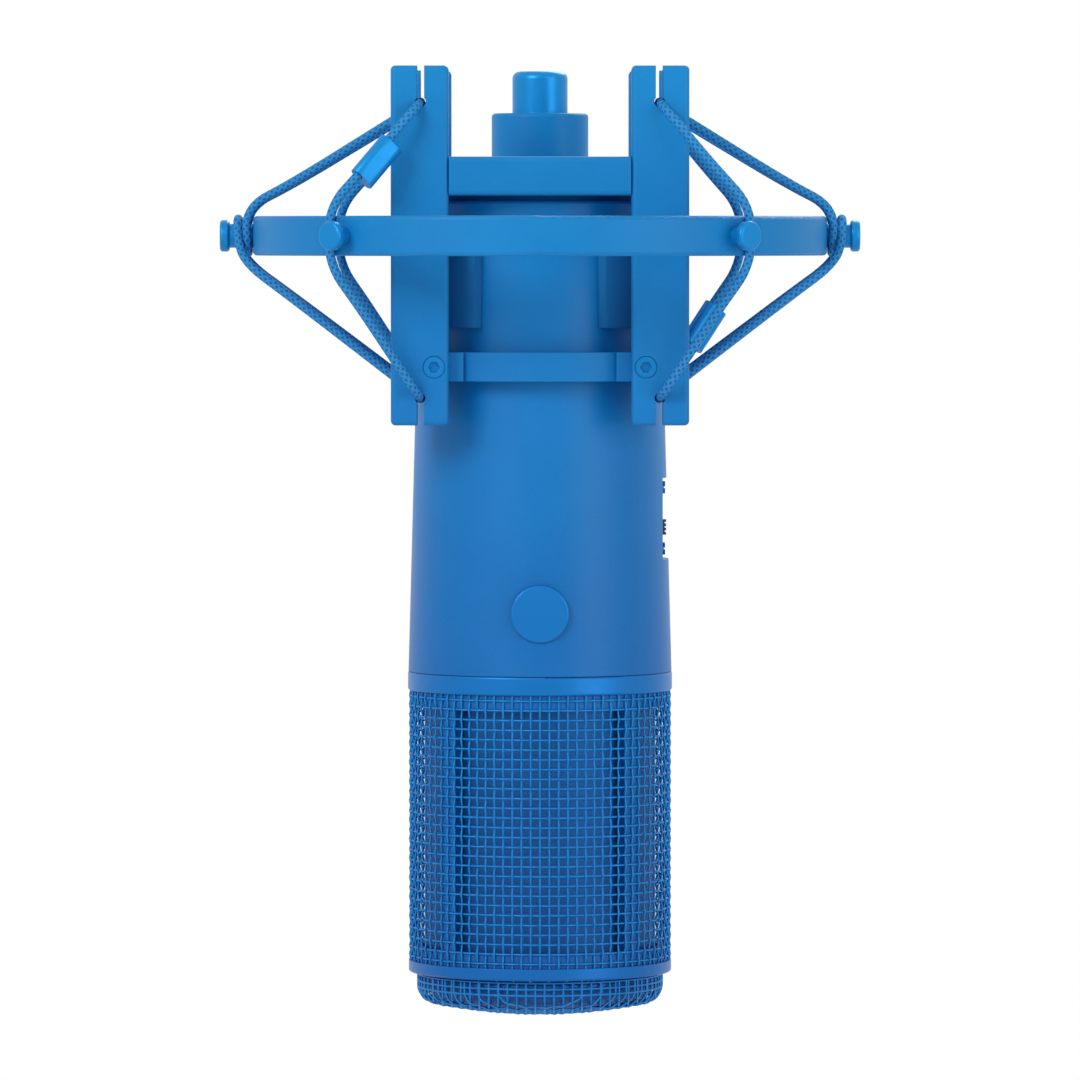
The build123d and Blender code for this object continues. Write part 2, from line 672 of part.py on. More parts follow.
def base_cap():
    skirt_outer = BASE_RADIUS - BODY_WALL - RUN_FIT
    cap = rod(BASE_RADIUS, TUBE_TOP, BODY_TOP)
    cap = fillet(circle_edges(cap, BASE_RADIUS, BODY_TOP), 0.8)
    cap += pipe(skirt_outer, skirt_outer - SKIRT_WALL, TUBE_TOP - SKIRT_DEPTH, TUBE_TOP)
    cap += rod(THREAD_NECK_RADIUS, connector_floor(), THREAD_NECK_TOP)
    cap -= rod(CONNECTOR_BORE + CONNECTOR_WALL + SEAT_GAP, -30, 30)
    for angle in BASE_SCREW_ANGLES:
        near = skirt_outer - SKIRT_WALL - CUT_PAST
        far = BASE_RADIUS + CUT_PAST
        cap -= radial_rod(SMALL_SCREW + SEAT_GAP, near, far, angle, BASE_SCREW_Z)
    return cap


def base_screw(angle):
    surface = taper_radius(BASE_SCREW_Z)
    head_start = BASE_RADIUS - BODY_WALL
    tip = head_start - SKIRT_WALL
    screw = radial_rod(SMALL_SCREW, tip, head_start + 0.5, angle, BASE_SCREW_Z)
    return screw + radial_rod(SMALL_HEAD, head_start, surface - 0.3, angle, BASE_SCREW_Z)


def connector_floor():
    return THREAD_NECK_TOP - CONNECTOR_DEPTH - INSERT_THICK


def connector_shell():
    outer = CONNECTOR_BORE + CONNECTOR_WALL
    shell = pipe(outer, CONNECTOR_BORE, connector_floor(), THREAD_NECK_TOP)
    notch = block((-1.6, 1.6), (CONNECTOR_BORE - 1, CONNECTOR_BORE + 0.8), (8, 20))
    return shell - notch


def pin_places():
    return [
        (PIN_CIRCLE * math.cos(math.radians(a)), PIN_CIRCLE * math.sin(math.radians(a)))
        for a in (-90, 35, 145)
    ]


def connector_insert():
    floor = connector_floor()
    insert = rod(CONNECTOR_BORE - SEAT_GAP, floor, floor + INSERT_THICK)
    for x, y in pin_places():
        insert -= rod(PIN_RADIUS + SEAT_GAP / 2, floor - 1, floor + INSERT_THICK + 1, x, y)
    return insert


def connector_pin(x, y):
    floor = connector_floor()
    top = floor + INSERT_THICK + PIN_HEIGHT
    pin = rod(PIN_RADIUS, floor - PIN_TAIL, top, x, y)
    return fillet(pin.edges().filter_by(GeomType.CIRCLE).sort_by(Axis.Z)[-1], 0.9)


def switch_body():
    inner = taper_radius(FLAT_TOP) - BODY_WALL
    face = math.sqrt(inner ** 2 - 3.5 ** 2) - SEAT_GAP
    reach = (FLAT_TOP - FLAT_BOTTOM) / 2
    body = block((face - 4.4, face), (-3.5, 3.5), (FLAT_MIDDLE - reach, FLAT_MIDDLE + reach))
    slot_half = SLIDER_HEIGHT / 2 + SWITCH_TRAVEL / 2 + FREE_GAP
    width = SLIDER_WIDTH / 2 + FREE_GAP / 2
    body -= block(
        (face - 1.7, 40), (-width, width), (FLAT_MIDDLE - slot_half, FLAT_MIDDLE + slot_half)
    )
    for z in switch_screw_heights():
        body -= rod_x(SMALL_SCREW + SEAT_GAP, face - 3, 40, 0, z)
    return body


def switch_slider():
    inner = taper_radius(FLAT_TOP) - BODY_WALL
    face = math.sqrt(inner ** 2 - 3.5 ** 2) - SEAT_GAP
    rest_z = FLAT_MIDDLE - SWITCH_TRAVEL / 2
    half_w, half_h = SLIDER_WIDTH / 2, SLIDER_HEIGHT / 2
    slider = block(
        (face - 1.7 + RUN_FIT, FLAT_X + 0.8), (-half_w, half_w), (rest_z - half_h, rest_z + half_h)
    )
    for step in (-1, 0, 1):
        slider -= block(
            (FLAT_X + 0.5, 40), (-5, 5), (rest_z + step * 0.9 - 0.2, rest_z + step * 0.9 + 0.2)
        )
    return slider


def switch_screw(z):
    head = rod_x(SMALL_HEAD, FLAT_X, FLAT_X + 0.6, 0, z)
    head -= block((FLAT_X + 0.3, FLAT_X + 2), (-2, 2), (z - 0.2, z + 0.2))
    return head + rod_x(SMALL_SCREW, FLAT_X - 3.2, FLAT_X + 0.1, 0, z)


def badge():
    surface = taper_radius(BADGE_Z)
    disc = rod_y(BADGE_RADIUS, -surface - BADGE_PROUD, -surface + 2.5, 0, BADGE_Z)
    rim = disc.edges().filter_by(GeomType.CIRCLE).sort_by(Axis.Y)[0]
    disc = fillet(rim, 0.4)
    core = turned([
        (0, TUBE_TOP), (BASE_RADIUS, TUBE_TOP), (HEAD_RADIUS, BODY_END), (0, BODY_END)
    ])
    return disc - core


# ---- inside the body -------------------------------------------------------


def chassis_rail(side):
    near, far = sorted((side * (RAIL_OUTER - RAIL_DEEP), side * RAIL_OUTER))
    half = RAIL_WIDE / 2
    return block((-half, half), (near, far), (FLOOR_TOP, TUBE_TOP - SKIRT_DEPTH))


BOARD_EDGE = RAIL_OUTER - RAIL_DEEP - SEAT_GAP


def circuit_board():
    board = block(
        (BOARD_OFFSET, BOARD_OFFSET + BOARD_THICK),
        (-BOARD_EDGE, BOARD_EDGE),
        (BOARD_BOTTOM, BOARD_TOP),
    )
    return board


def transformer():
    core = block((BOARD_OFFSET - 13, BOARD_OFFSET), (-10, 10), (-38, -20))
    core = fillet(core.edges().filter_by(Axis.X), 0.8)
    winding = rod_x(8.0, BOARD_OFFSET - 12, BOARD_OFFSET - 1, 0, -29)
    top = block((BOARD_OFFSET - 11, BOARD_OFFSET - 2), (-6, 6), (-42, -16))
    return core + winding + fillet(top.edges().filter_by(Axis.X), 2.0)


CAPACITORS = [(-11.0, -50.0, 4.0, 11.0), (-2.0, -50.0, 3.0, 9.0), (7.5, -52.0, 5.0, 10.0),
              (-10.0, -62.0, 3.0, 8.0), (9.0, -66.0, 4.0, 11.0)]


def capacitor(y, z, radius, height):
    can = rod_x(radius, BOARD_OFFSET - height, BOARD_OFFSET, y, z)
    rim = can.edges().filter_by(GeomType.CIRCLE).sort_by(Axis.X)[0]
    return fillet(rim, 0.5)


def transistor():
    body = rod_x(2.4, BOARD_OFFSET - 4.5, BOARD_OFFSET, -1.5, -76)
    return body + rod_x(2.8, BOARD_OFFSET - 0.6, BOARD_OFFSET, -1.5, -76)


# ---- head ------------------------------------------------------------------

FLOOR_SCREW_ANGLES = [0, 120, 240]


def head_collar():
    spigot = taper_radius(BODY_END + COLLAR_SPIGOT) - BODY_WALL - RUN_FIT
    collar = pipe(COLLAR_RADIUS, COLLAR_BORE, COLLAR_BOTTOM, BODY_END)
    rims = circle_edges(collar, COLLAR_RADIUS, COLLAR_BOTTOM) + circle_edges(
        collar, COLLAR_RADIUS, BODY_END
    )
    collar = fillet(rims, 0.5)
    collar += pipe(spigot, COLLAR_BORE, BODY_END, BODY_END + COLLAR_SPIGOT)
    collar += pipe(COLLAR_BORE + 0.5, LEDGE_BORE, COLLAR_BOTTOM, COLLAR_BOTTOM + LEDGE_THICK)
    return collar


def head_floor():
    disc = rod(COLLAR_BORE - SEAT_GAP, FLOOR_BOTTOM, FLOOR_TOP)
    for side in (-1, 1):
        disc -= rod(LEAD_RADIUS + FREE_GAP, FLOOR_BOTTOM - 1, FLOOR_TOP + 1, side * LEAD_X, -LEAD_Y)
    for angle in FLOOR_SCREW_ANGLES:
        x, y = floor_screw_place(angle)
        disc -= rod(SMALL_SCREW + SEAT_GAP, FLOOR_BOTTOM - 1, FLOOR_TOP + 1, x, y)
    return disc


def floor_screw_place(angle):
    ring = LEDGE_BORE - SMALL_HEAD - 1.5
    return ring * math.cos(math.radians(angle)), ring * math.sin(math.radians(angle))


def floor_screw(angle):
    """Screw that clamps a small tab of the floor."""
    x, y = floor_screw_place(angle)
    head = rod(SMALL_HEAD, FLOOR_TOP, FLOOR_TOP + SMALL_HEAD_THICK, x, y)
    return head + rod(SMALL_SCREW, FLOOR_BOTTOM - 1.5, FLOOR_TOP + 0.1, x, y)


def grille_frame():
    inner = FRAME_OUTER - FRAME_WALL
    top = COLLAR_BOTTOM
    bottom = END_RING_TOP
    frame = pipe(FRAME_OUTER, inner, top - FRAME_RING, top)
    frame += pipe(FRAME_OUTER, inner, bottom, bottom + FRAME_RING)
    cage = pipe(FRAME_OUTER, inner, bottom, top)
    for angle in (45, 135):
        slab = block((-40, 40), (-FRAME_RIB / 2, FRAME_RIB / 2), (bottom, top))
        frame += cage & (Rot(0, 0, angle) * slab)
    return frame


def grille_mesh():
    return pipe(MESH_RADIUS, MESH_RADIUS - MESH_WALL, END_RING_TOP, COLLAR_BOTTOM)


def end_ring():
    ring = pipe(MESH_RADIUS, FRAME_OUTER - FRAME_WALL, END_RING_BOTTOM, END_RING_TOP)
    rims = circle_edges(ring, MESH_RADIUS, END_RING_BOTTOM)
    return fillet(rims, 0.5)


def cap_outline(inset):
    """Outline of the domed end, inset from its outer face."""
    side = END_RING_BOTTOM - CAP_SIDE
    radius = CAP_RADIUS - inset
    low = CAP_BOTTOM + inset
    corner = CAP_CORNER
    shoulder = (radius - corner, 0, side - corner)
    wall = Line((radius, 0, END_RING_BOTTOM), (radius, 0, side))
    bend = TangentArc((radius, 0, side), shoulder, tangent=(0, 0, -1))
    rise = shoulder[2] - low
    crown_radius = (shoulder[0] ** 2 + rise ** 2) / (2 * rise)
    spot = shoulder[0] / 2
    drop = crown_radius - math.sqrt(crown_radius ** 2 - spot ** 2)
    crown = ThreePointArc(shoulder, (spot, 0, low + drop), (0, 0, low))
    return wall, bend, crown


def domed_solid(inset):
    wall, bend, crown = cap_outline(inset)
    centre = Line((0, 0, CAP_BOTTOM + inset), (0, 0, END_RING_BOTTOM))
    lid = Line((0, 0, END_RING_BOTTOM), (CAP_RADIUS - inset, 0, END_RING_BOTTOM))
    return revolve(make_face([*wall.edges(), *bend.edges(), *crown.edges(), *centre.edges(),
                              *lid.edges()]), Axis.Z)


def end_mesh():
    return domed_solid(0) - domed_solid(CAP_WALL)


def inner_mesh():
    outer = INNER_MESH_RADIUS
    return pipe(outer, outer - INNER_MESH_WALL, END_RING_BOTTOM + 1, COLLAR_BOTTOM)


def capsule_housing():
    outer = CAPSULE_RADIUS
    ring = rod_y(outer, -CAPSULE_HALF, CAPSULE_HALF, 0, CAPSULE_Z)
    return ring - rod_y(outer - HOUSING_WALL, -10, 10, 0, CAPSULE_Z)


def capsule_backplate():
    radius = CAPSULE_RADIUS - HOUSING_WALL - SEAT_GAP
    plate = rod_y(radius, -BACKPLATE_HALF, BACKPLATE_HALF, 0, CAPSULE_Z)
    for circle, count in ((4.0, 6), (8.5, 12), (12.5, 16)):
        for index in range(count):
            turn = math.radians(360 / count * index)
            x = circle * math.cos(turn)
            z = CAPSULE_Z + circle * math.sin(turn)
            plate -= rod_y(0.6, -BACKPLATE_HALF - 1, BACKPLATE_HALF + 1, x, z)
    return plate


def diaphragm(side):
    radius = CAPSULE_RADIUS - HOUSING_WALL - SEAT_GAP
    near = side * (CAPSULE_HALF - DIAPHRAGM_THICK)
    return rod_y(radius, near, side * CAPSULE_HALF, 0, CAPSULE_Z)


def clamp_ring(side):
    near, far = side * CAPSULE_HALF, side * (CAPSULE_HALF + CLAMP_THICK)
    ring = rod_y(CAPSULE_RADIUS, near, far, 0, CAPSULE_Z)
    return ring - rod_y(CAPSULE_RADIUS - CLAMP_WIDTH, near - side, far + side, 0, CAPSULE_Z)


def clamp_screw(side, index):
    turn = math.radians(360 / CLAMP_SCREWS * (index + 0.5))
    circle = CAPSULE_RADIUS - CLAMP_WIDTH / 2
    face = side * (CAPSULE_HALF + CLAMP_THICK)
    x = circle * math.cos(turn)
    z = CAPSULE_Z + circle * math.sin(turn)
    return rod_y(0.9, face, face + side * 0.6, x, z)


def capsule_saddle():
    inner = CAPSULE_RADIUS + SEAT_GAP
    outer = inner + SADDLE_WALL
    band = rod_y(outer, -SADDLE_HALF, SADDLE_HALF, 0, CAPSULE_Z)
    band -= rod_y(inner, -10, 10, 0, CAPSULE_Z)
    band -= block((-30, 30), (-10, 10), (CAPSULE_Z - 30, CAPSULE_Z))
    foot_bottom = FLOOR_BOTTOM - ISOLATOR_THICK - SADDLE_FOOT_THICK
    post = block(
        (-SADDLE_POST, SADDLE_POST), (-SADDLE_HALF, SADDLE_HALF), (CAPSULE_Z + 8, foot_bottom + 1)
    )
    post -= rod_y(inner + 0.6, -10, 10, 0, CAPSULE_Z)
    return band + post + rod(SADDLE_FOOT, foot_bottom, foot_bottom + SADDLE_FOOT_THICK)


def isolator():
    bottom = FLOOR_BOTTOM - ISOLATOR_THICK
    middle = (bottom + FLOOR_BOTTOM) / 2
    puck = rod(SADDLE_FOOT, bottom, FLOOR_BOTTOM)
    groove = pipe(SADDLE_FOOT + 2, SADDLE_FOOT - 1.2, middle - 0.7, middle + 0.7)
    return puck - groove


def capsule_lead(side):
    touch_y = -(CAPSULE_HALF + CLAMP_THICK + LEAD_RADIUS + SEAT_GAP)
    points = [
        (side * LEAD_X, touch_y, CAPSULE_Z + 9.5),
        (side * LEAD_X, touch_y, CAPSULE_Z + 15.0),
        (side * LEAD_X, -LEAD_Y, CAPSULE_Z + 21.0),
        (side * LEAD_X, -LEAD_Y, BOARD_BOTTOM - 1.0),
        (side * 4.0, -3.0, BOARD_BOTTOM + 3.0),
    ]
    path = FilletPolyline(*points, radius=[4.0, 4.0, 3.0])
    section = Plane(origin=path @ 0, z_dir=path % 0) * Circle(LEAD_RADIUS)
    return sweep(section, path=path)


def main():
    os.makedirs("parts", exist_ok=True)
    save("outer_ring", outer_ring())
    end_pegs = [peg(END_PEG_SHAFT, END_PEG_FLANGE, END_PEG_SEAT, a) for a in (0, 180)]
    save("end_pegs", Compound(end_pegs))
    corner = [peg(CORNER_PEG_SHAFT, CORNER_PEG_FLANGE, CORNER_PEG_SEAT, a) for a in PEG_ANGLES]
    save("corner_pegs", Compound(corner))
    save("ring_bracket", ring_bracket())
    save("bracket_screws", Compound([bracket_screw(side) for side in (-1, 1)]))

    save("stand_socket", stand_socket())
    save("thread_adapter", thread_adapter())
    save("tilt_bolt", tilt_bolt())
    save("friction_washers", Compound([friction_washer(side) for side in (-1, 1)]))
    save("plain_washer", plain_washer())
    save("tilt_knob", tilt_knob())

    save("cradle_plate", cradle_plate())
    names = ("back_right", "back_left", "front_left", "front_right")
    for name, (side_x, side_y) in zip(names, CORNERS):
        save("cradle_post_" + name, cradle_post(side_x, side_y))
    save("plate_screws", Compound([plate_screw(*c) for c in CORNERS]))
    save("lower_hoop", lower_hoop())
    save("hoop_screws", Compound([hoop_screw(*c) for c in CORNERS]))
    save("grip_pads", Compound([grip_pad(*c) for c in CORNERS]))
    save("base_washer", base_washer())
    save("lock_ring", lock_ring())

    for side, word in ((1, "right"), (-1, "left")):
        save("elastic_upper_" + word, elastic(upper_route(), side))
        save("elastic_lower_" + word, elastic(lower_route(), side))
    upper, lower = upper_route()[0], lower_route()[0]
    left = [(-x, y, z) for x, y, z in upper]
    right = [(x, -y, z) for x, y, z in lower]
    save("crimp_left", crimp(left[1], left[2], 0.48))
    save("crimp_right", crimp(right[1], right[2], 0.48))

    save("body_tube", body_tube())
    save("base_cap", base_cap())
    save("base_screws", Compound([base_screw(angle) for angle in BASE_SCREW_ANGLES]))
    save("connector_shell", connector_shell())
    save("connector_insert", connector_insert())
    save("connector_pins", Compound([connector_pin(x, y) for x, y in pin_places()]))
    save("switch_body", switch_body())
    save("switch_slider", switch_slider())
    save("switch_screws", Compound([switch_screw(z) for z in switch_screw_heights()]))
    save("badge", badge())
    save("chassis_rails", Compound([chassis_rail(side) for side in (-1, 1)]))
    save("circuit_board", circuit_board())
    save("transformer", transformer())
    save("capacitors", Compound([capacitor(*c) for c in CAPACITORS]))
    save("transistor", transistor())

    save("head_collar", head_collar())
    save("head_floor", head_floor())
    save("floor_screws", Compound([floor_screw(angle) for angle in FLOOR_SCREW_ANGLES]))
    save("grille_frame", grille_frame())
    save("grille_mesh", grille_mesh())
    save("end_ring", end_ring())
    save("end_mesh", end_mesh())
    save("inner_mesh", inner_mesh())
    save("capsule_housing", capsule_housing())
    save("capsule_backplate", capsule_backplate())
    save("diaphragms", Compound([diaphragm(side) for side in (-1, 1)]))
    save("clamp_rings", Compound([clamp_ring(side) for side in (-1, 1)]))
    screws = [clamp_screw(side, i) for side in (-1, 1) for i in range(CLAMP_SCREWS)]
    save("clamp_screws", Compound(screws))
    save("capsule_saddle", capsule_saddle())
    save("isolator", isolator())
    save("capsule_leads", Compound([capsule_lead(side) for side in (-1, 1)]))


main()
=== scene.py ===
# %% [markdown]
# # A studio microphone in its elastic shock mount
# The microphone hangs head down from a stand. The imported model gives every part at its
# true size and place. Here the parts get their finishes, and the woven grille, the
# elastic cords and the crimped sleeves are modelled in full.

# %% Load the frame
import math

import bpy
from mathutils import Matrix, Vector


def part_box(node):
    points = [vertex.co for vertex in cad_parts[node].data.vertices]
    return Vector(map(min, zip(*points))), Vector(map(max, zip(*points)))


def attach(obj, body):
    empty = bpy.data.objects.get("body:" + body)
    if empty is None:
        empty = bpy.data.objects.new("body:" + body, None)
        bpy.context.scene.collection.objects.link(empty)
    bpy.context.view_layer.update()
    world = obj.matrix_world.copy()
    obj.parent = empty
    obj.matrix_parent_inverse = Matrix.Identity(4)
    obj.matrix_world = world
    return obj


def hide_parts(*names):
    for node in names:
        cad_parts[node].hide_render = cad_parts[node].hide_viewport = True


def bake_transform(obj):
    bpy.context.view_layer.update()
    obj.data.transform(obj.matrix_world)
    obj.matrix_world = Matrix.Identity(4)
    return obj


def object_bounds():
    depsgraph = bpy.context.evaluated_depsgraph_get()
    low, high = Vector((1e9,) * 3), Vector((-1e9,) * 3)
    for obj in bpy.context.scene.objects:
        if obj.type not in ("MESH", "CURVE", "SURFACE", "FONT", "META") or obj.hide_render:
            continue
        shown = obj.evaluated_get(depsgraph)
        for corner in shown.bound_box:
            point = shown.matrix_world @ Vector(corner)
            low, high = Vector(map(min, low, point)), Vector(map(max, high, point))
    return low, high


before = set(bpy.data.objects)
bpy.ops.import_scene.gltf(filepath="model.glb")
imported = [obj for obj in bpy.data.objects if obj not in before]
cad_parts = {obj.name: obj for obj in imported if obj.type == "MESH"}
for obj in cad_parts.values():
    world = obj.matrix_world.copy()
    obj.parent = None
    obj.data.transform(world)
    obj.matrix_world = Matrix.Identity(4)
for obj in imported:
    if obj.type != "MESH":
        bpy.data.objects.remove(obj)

cad_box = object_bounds()

MM = 0.001
ring_low, ring_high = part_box("outer_ring")
AXIS_X = (ring_low[0] + ring_high[0]) / 2
AXIS_Y = (ring_low[1] + ring_high[1]) / 2
RING_Z = (ring_low[2] + ring_high[2]) / 2
print("microphone axis", round(AXIS_X / MM, 2), round(AXIS_Y / MM, 2), "ring", round(RING_Z / MM, 2))


def lone(obj):
    """Select one object and nothing else."""
    bpy.ops.object.select_all(action="DESELECT")
    obj.select_set(True)
    bpy.context.view_layer.objects.active = obj


def triangles(obj):
    obj.data.calc_loop_triangles()
    return len(obj.data.loop_triangles)


# %% [markdown]
# ## Shader maths as expressions
# A finish is a small network of nodes. Wiring it by hand hides the sums, so this class
# wraps a socket and lets `1 - mask * 0.3` add its own Math nodes. Colours go through Mix.

# %% A socket that can be added and multiplied


class Value:
    def __init__(self, finish, socket):
        self.finish = finish
        self.socket = socket

    def maths(self, operation, first, second=0.0):
        return self.finish.node("ShaderNodeMath", {"operation": operation}, {0: first, 1: second})

    def __add__(self, other):
        return self.maths("ADD", self, other)

    def __sub__(self, other):
        return self.maths("SUBTRACT", self, other)

    def __rsub__(self, other):
        return self.maths("SUBTRACT", other, self)

    def __mul__(self, other):
        return self.maths("MULTIPLY", self, other)

    def __truediv__(self, other):
        return self.maths("DIVIDE", self, other)

    def sine(self):
        return self.maths("SINE", self)

    def higher(self, other):
        return self.maths("MAXIMUM", self, other)

    def lower(self, other):
        return self.maths("MINIMUM", self, other)

    def above(self, limit):
        return self.maths("GREATER_THAN", self, limit)


class Finish:
    """One material: its principled shader, and a method that adds any node."""

    def __init__(self, name, **constants):
        self.material = bpy.data.materials.new(name)
        self.material.use_nodes = True
        self.tree = self.material.node_tree
        self.shader = self.tree.nodes["Principled BSDF"]
        for socket, value in constants.items():
            self.shader.inputs[socket.replace("_", " ")].default_value = value

    def node(self, kind, settings, inputs, output=0):
        made = self.tree.nodes.new(kind)
        for name, value in settings.items():
            setattr(made, name, value)
        for name, value in inputs.items():
            if isinstance(value, Value):
                self.tree.links.new(value.socket, made.inputs[name])
            else:
                made.inputs[name].default_value = value
        return Value(self, made.outputs[output])

    def drive(self, socket, value):
        self.tree.links.new(value.socket, self.shader.inputs[socket])

    def place(self):
        """Object coordinates in metres, as three values."""
        where = self.node("ShaderNodeTexCoord", {}, {}, "Object")
        split = self.node("ShaderNodeSeparateXYZ", {}, {0: where})
        parts = split.socket.node.outputs
        return where, Value(self, parts[0]), Value(self, parts[1]), Value(self, parts[2])

    def noise(self, where, per_metre, detail=2.0):
        inputs = {"Vector": where, "Scale": per_metre, "Detail": detail}
        return self.node("ShaderNodeTexNoise", {}, inputs, "Fac")

    def mix(self, factor, first, second):
        inputs = {"Factor": factor, 6: first, 7: second}
        return self.node("ShaderNodeMix", {"data_type": "RGBA"}, inputs, 2)

    def ramp(self, factor, stops):
        made = self.tree.nodes.new("ShaderNodeValToRGB")
        elements = made.color_ramp.elements
        while len(elements) < len(stops):
            elements.new(0.5)
        for element, (position, colour) in zip(elements, stops):
            element.position = position
            element.color = colour
        self.tree.links.new(factor.socket, made.inputs[0])
        return Value(self, made.outputs[0])

    def bumpy(self, height, metres, soft_edge=0.0):
        """Relief of a true depth, over edges that are broken by a small radius."""
        inputs = {"Height": height, "Distance": metres, "Strength": 1.0}
        if soft_edge:
            inputs["Normal"] = self.node("ShaderNodeBevel", {"samples": 4}, {"Radius": soft_edge})
        self.drive("Normal", self.node("ShaderNodeBump", {}, inputs))


def colour(red, green, blue):
    """Screen colour, 0 to 255, as the linear colour that shaders use."""
    def linear(level):
        level = level / 255
        return level / 12.92 if level <= 0.04045 else ((level + 0.055) / 1.055) ** 2.4
    return (linear(red), linear(green), linear(blue), 1.0)


print("shader helpers ready")

# %% [markdown]
# ## The blue, from top to head
# The whole object wears one blue, which deepens from the ends of the posts down to the
# head. A ramp over height carries it, so the tone runs on from piece to piece.

# %% Tones over height
TOP_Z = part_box("cradle_post_front_right")[1][2]
HEAD_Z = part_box("end_mesh")[0][2]
TONES = [
    (0.0, colour(2, 131, 200)),
    (0.3, colour(2, 119, 191)),
    (0.62, colour(2, 101, 177)),
    (1.0, colour(3, 84, 163)),
]


def height_blue(finish, z):
    depth = (TOP_Z - z) / (TOP_Z - HEAD_Z)
    return finish.ramp(depth, TONES)


print("blue runs over", round((TOP_Z - HEAD_Z) / MM, 1), "mm")

# %% [markdown]
# ## Powder coat
# Baked powder flows into a fine orange peel about half a millimetre across and one or two
# hundredths of a millimetre deep. Noise at that scale feeds a Bump node, and a slower noise
# shifts the gloss and the tone a little, as handling does.

# %% Painted parts
CLOUD_PER_METRE = 45.0
SPECK_PER_METRE = 5200.0
PEEL_PER_METRE = 1900.0
COAT_SOFT_EDGE = 0.25 * MM
SPECK_LIMIT = 0.66
DEEP_TONE = (0.0, 0.02, 0.08, 1.0)
PALE_TONE = (0.1, 0.8, 1.0, 1.0)
SPECK_TONE = (0.05, 0.55, 0.85, 1.0)


def powder_coat(name, peel, roughness):
    finish = Finish(name, Specular_IOR_Level=0.2, Coat_Weight=0.03, Coat_Roughness=0.25)
    where, _, _, z = finish.place()
    tone = height_blue(finish, z)
    cloud = finish.noise(where, CLOUD_PER_METRE, 3.0)
    speck = finish.noise(where, SPECK_PER_METRE, 1.0)
    darker = finish.mix(0.22, tone, DEEP_TONE)
    lighter = finish.mix(0.03, tone, PALE_TONE)
    shade = finish.mix(cloud, darker, lighter)
    finish.drive("Base Color", finish.mix(speck.above(SPECK_LIMIT) * 0.08, shade, SPECK_TONE))
    finish.drive("Roughness", cloud * 0.16 + (roughness - 0.08))
    peel_height = finish.noise(where, PEEL_PER_METRE, 2.0)
    finish.bumpy(peel_height, peel, COAT_SOFT_EDGE)
    return finish.material


body_coat = powder_coat("body_powder_coat", 0.012 * MM, 0.42)
mount_coat = powder_coat("mount_powder_coat", 0.02 * MM, 0.5)
print("coats", body_coat.name, mount_coat.name)

# %% [markdown]
# ## Turned and anodised parts
# Pegs, collars and the knob are turned, then dyed blue. Turning leaves fine rings, so the
# relief follows the distance along the lathe axis. Dyed metal keeps a metallic glint, and the
# rings also get a painted glint: a paler blue on their crests.

# %% Anodised finish
TURNING_PITCH = 0.22 * MM
TURNING_DEPTH = 0.004 * MM
DRIFT_PER_METRE = 700.0
GLOSS_PER_METRE = 300.0
GLINT_TONE = (0.08, 0.55, 0.9, 1.0)


def anodised(name, along):
    finish = Finish(name, Metallic=0.45, Specular_IOR_Level=0.2)
    where, x, y, z = finish.place()
    rings = {"x": x, "y": y, "z": z}[along] * (math.tau / TURNING_PITCH)
    drift = finish.noise(where, DRIFT_PER_METRE) * 4.0
    turning = (rings + drift).sine() * 0.5 + 0.5
    tone = height_blue(finish, z)
    # Painted glint: the crests of the turning rings are painted a paler blue.
    glint = finish.mix(turning * 0.12, tone, GLINT_TONE)
    finish.drive("Base Color", glint)
    finish.drive("Roughness", finish.noise(where, GLOSS_PER_METRE) * 0.14 + 0.3)
    finish.bumpy(turning, TURNING_DEPTH, 0.2 * MM)
    return finish.material


turned_upright = anodised("anodised_turned_upright", "z")
turned_across = anodised("anodised_turned_across", "x")
print("anodised", turned_upright.name, turned_across.name)

# %% Rubber, steel, gold, plastic and board
TRACK_PITCH = 2.4 * MM
TRACK_BEND = 9.0 * MM
TRACK_LIMIT = 0.72
GRAIN_PER_METRE = 3500.0
MOULD_PER_METRE = 2600.0


def rubber():
    finish = Finish("blue_rubber", Roughness=0.78, Specular_IOR_Level=0.2)
    where, _, _, z = finish.place()
    grain = finish.noise(where, GRAIN_PER_METRE, 3.0)
    tone = finish.mix(0.35, height_blue(finish, z), (0.0, 0.02, 0.06, 1.0))
    finish.drive("Base Color", finish.mix(grain * 0.15, tone, (0.1, 0.3, 0.45, 1.0)))
    finish.bumpy(grain, 0.03 * MM, 0.3 * MM)
    return finish.material


def bright_metal(name, tint, per_metre, roughness):
    """Metal with fine drawn lines, each a little duller or brighter."""
    finish = Finish(name, Metallic=1.0)
    where, *_ = finish.place()
    stretch = finish.node("ShaderNodeMapping", {}, {"Vector": where, "Scale": (1.0, 1.0, 14.0)})
    lines = finish.noise(stretch, per_metre, 2.0)
    dull = tuple(part * 0.72 for part in tint[:3]) + (1.0,)
    finish.drive("Base Color", finish.mix(lines, dull, tint))
    finish.drive("Roughness", lines * 0.2 + (roughness - 0.1))
    finish.bumpy(lines, 0.006 * MM, 0.15 * MM)
    return finish.material


def moulded(name, tint, sheen):
    finish = Finish(name, Metallic=0.0)
    where, *_ = finish.place()
    texture = finish.noise(where, MOULD_PER_METRE, 2.0)
    pale = tuple(min(1.0, part + 0.03) for part in tint[:3]) + (1.0,)
    finish.drive("Base Color", finish.mix(texture, tint, pale))
    finish.drive("Roughness", texture * 0.12 + sheen)
    finish.bumpy(texture, 0.015 * MM, 0.2 * MM)
    return finish.material


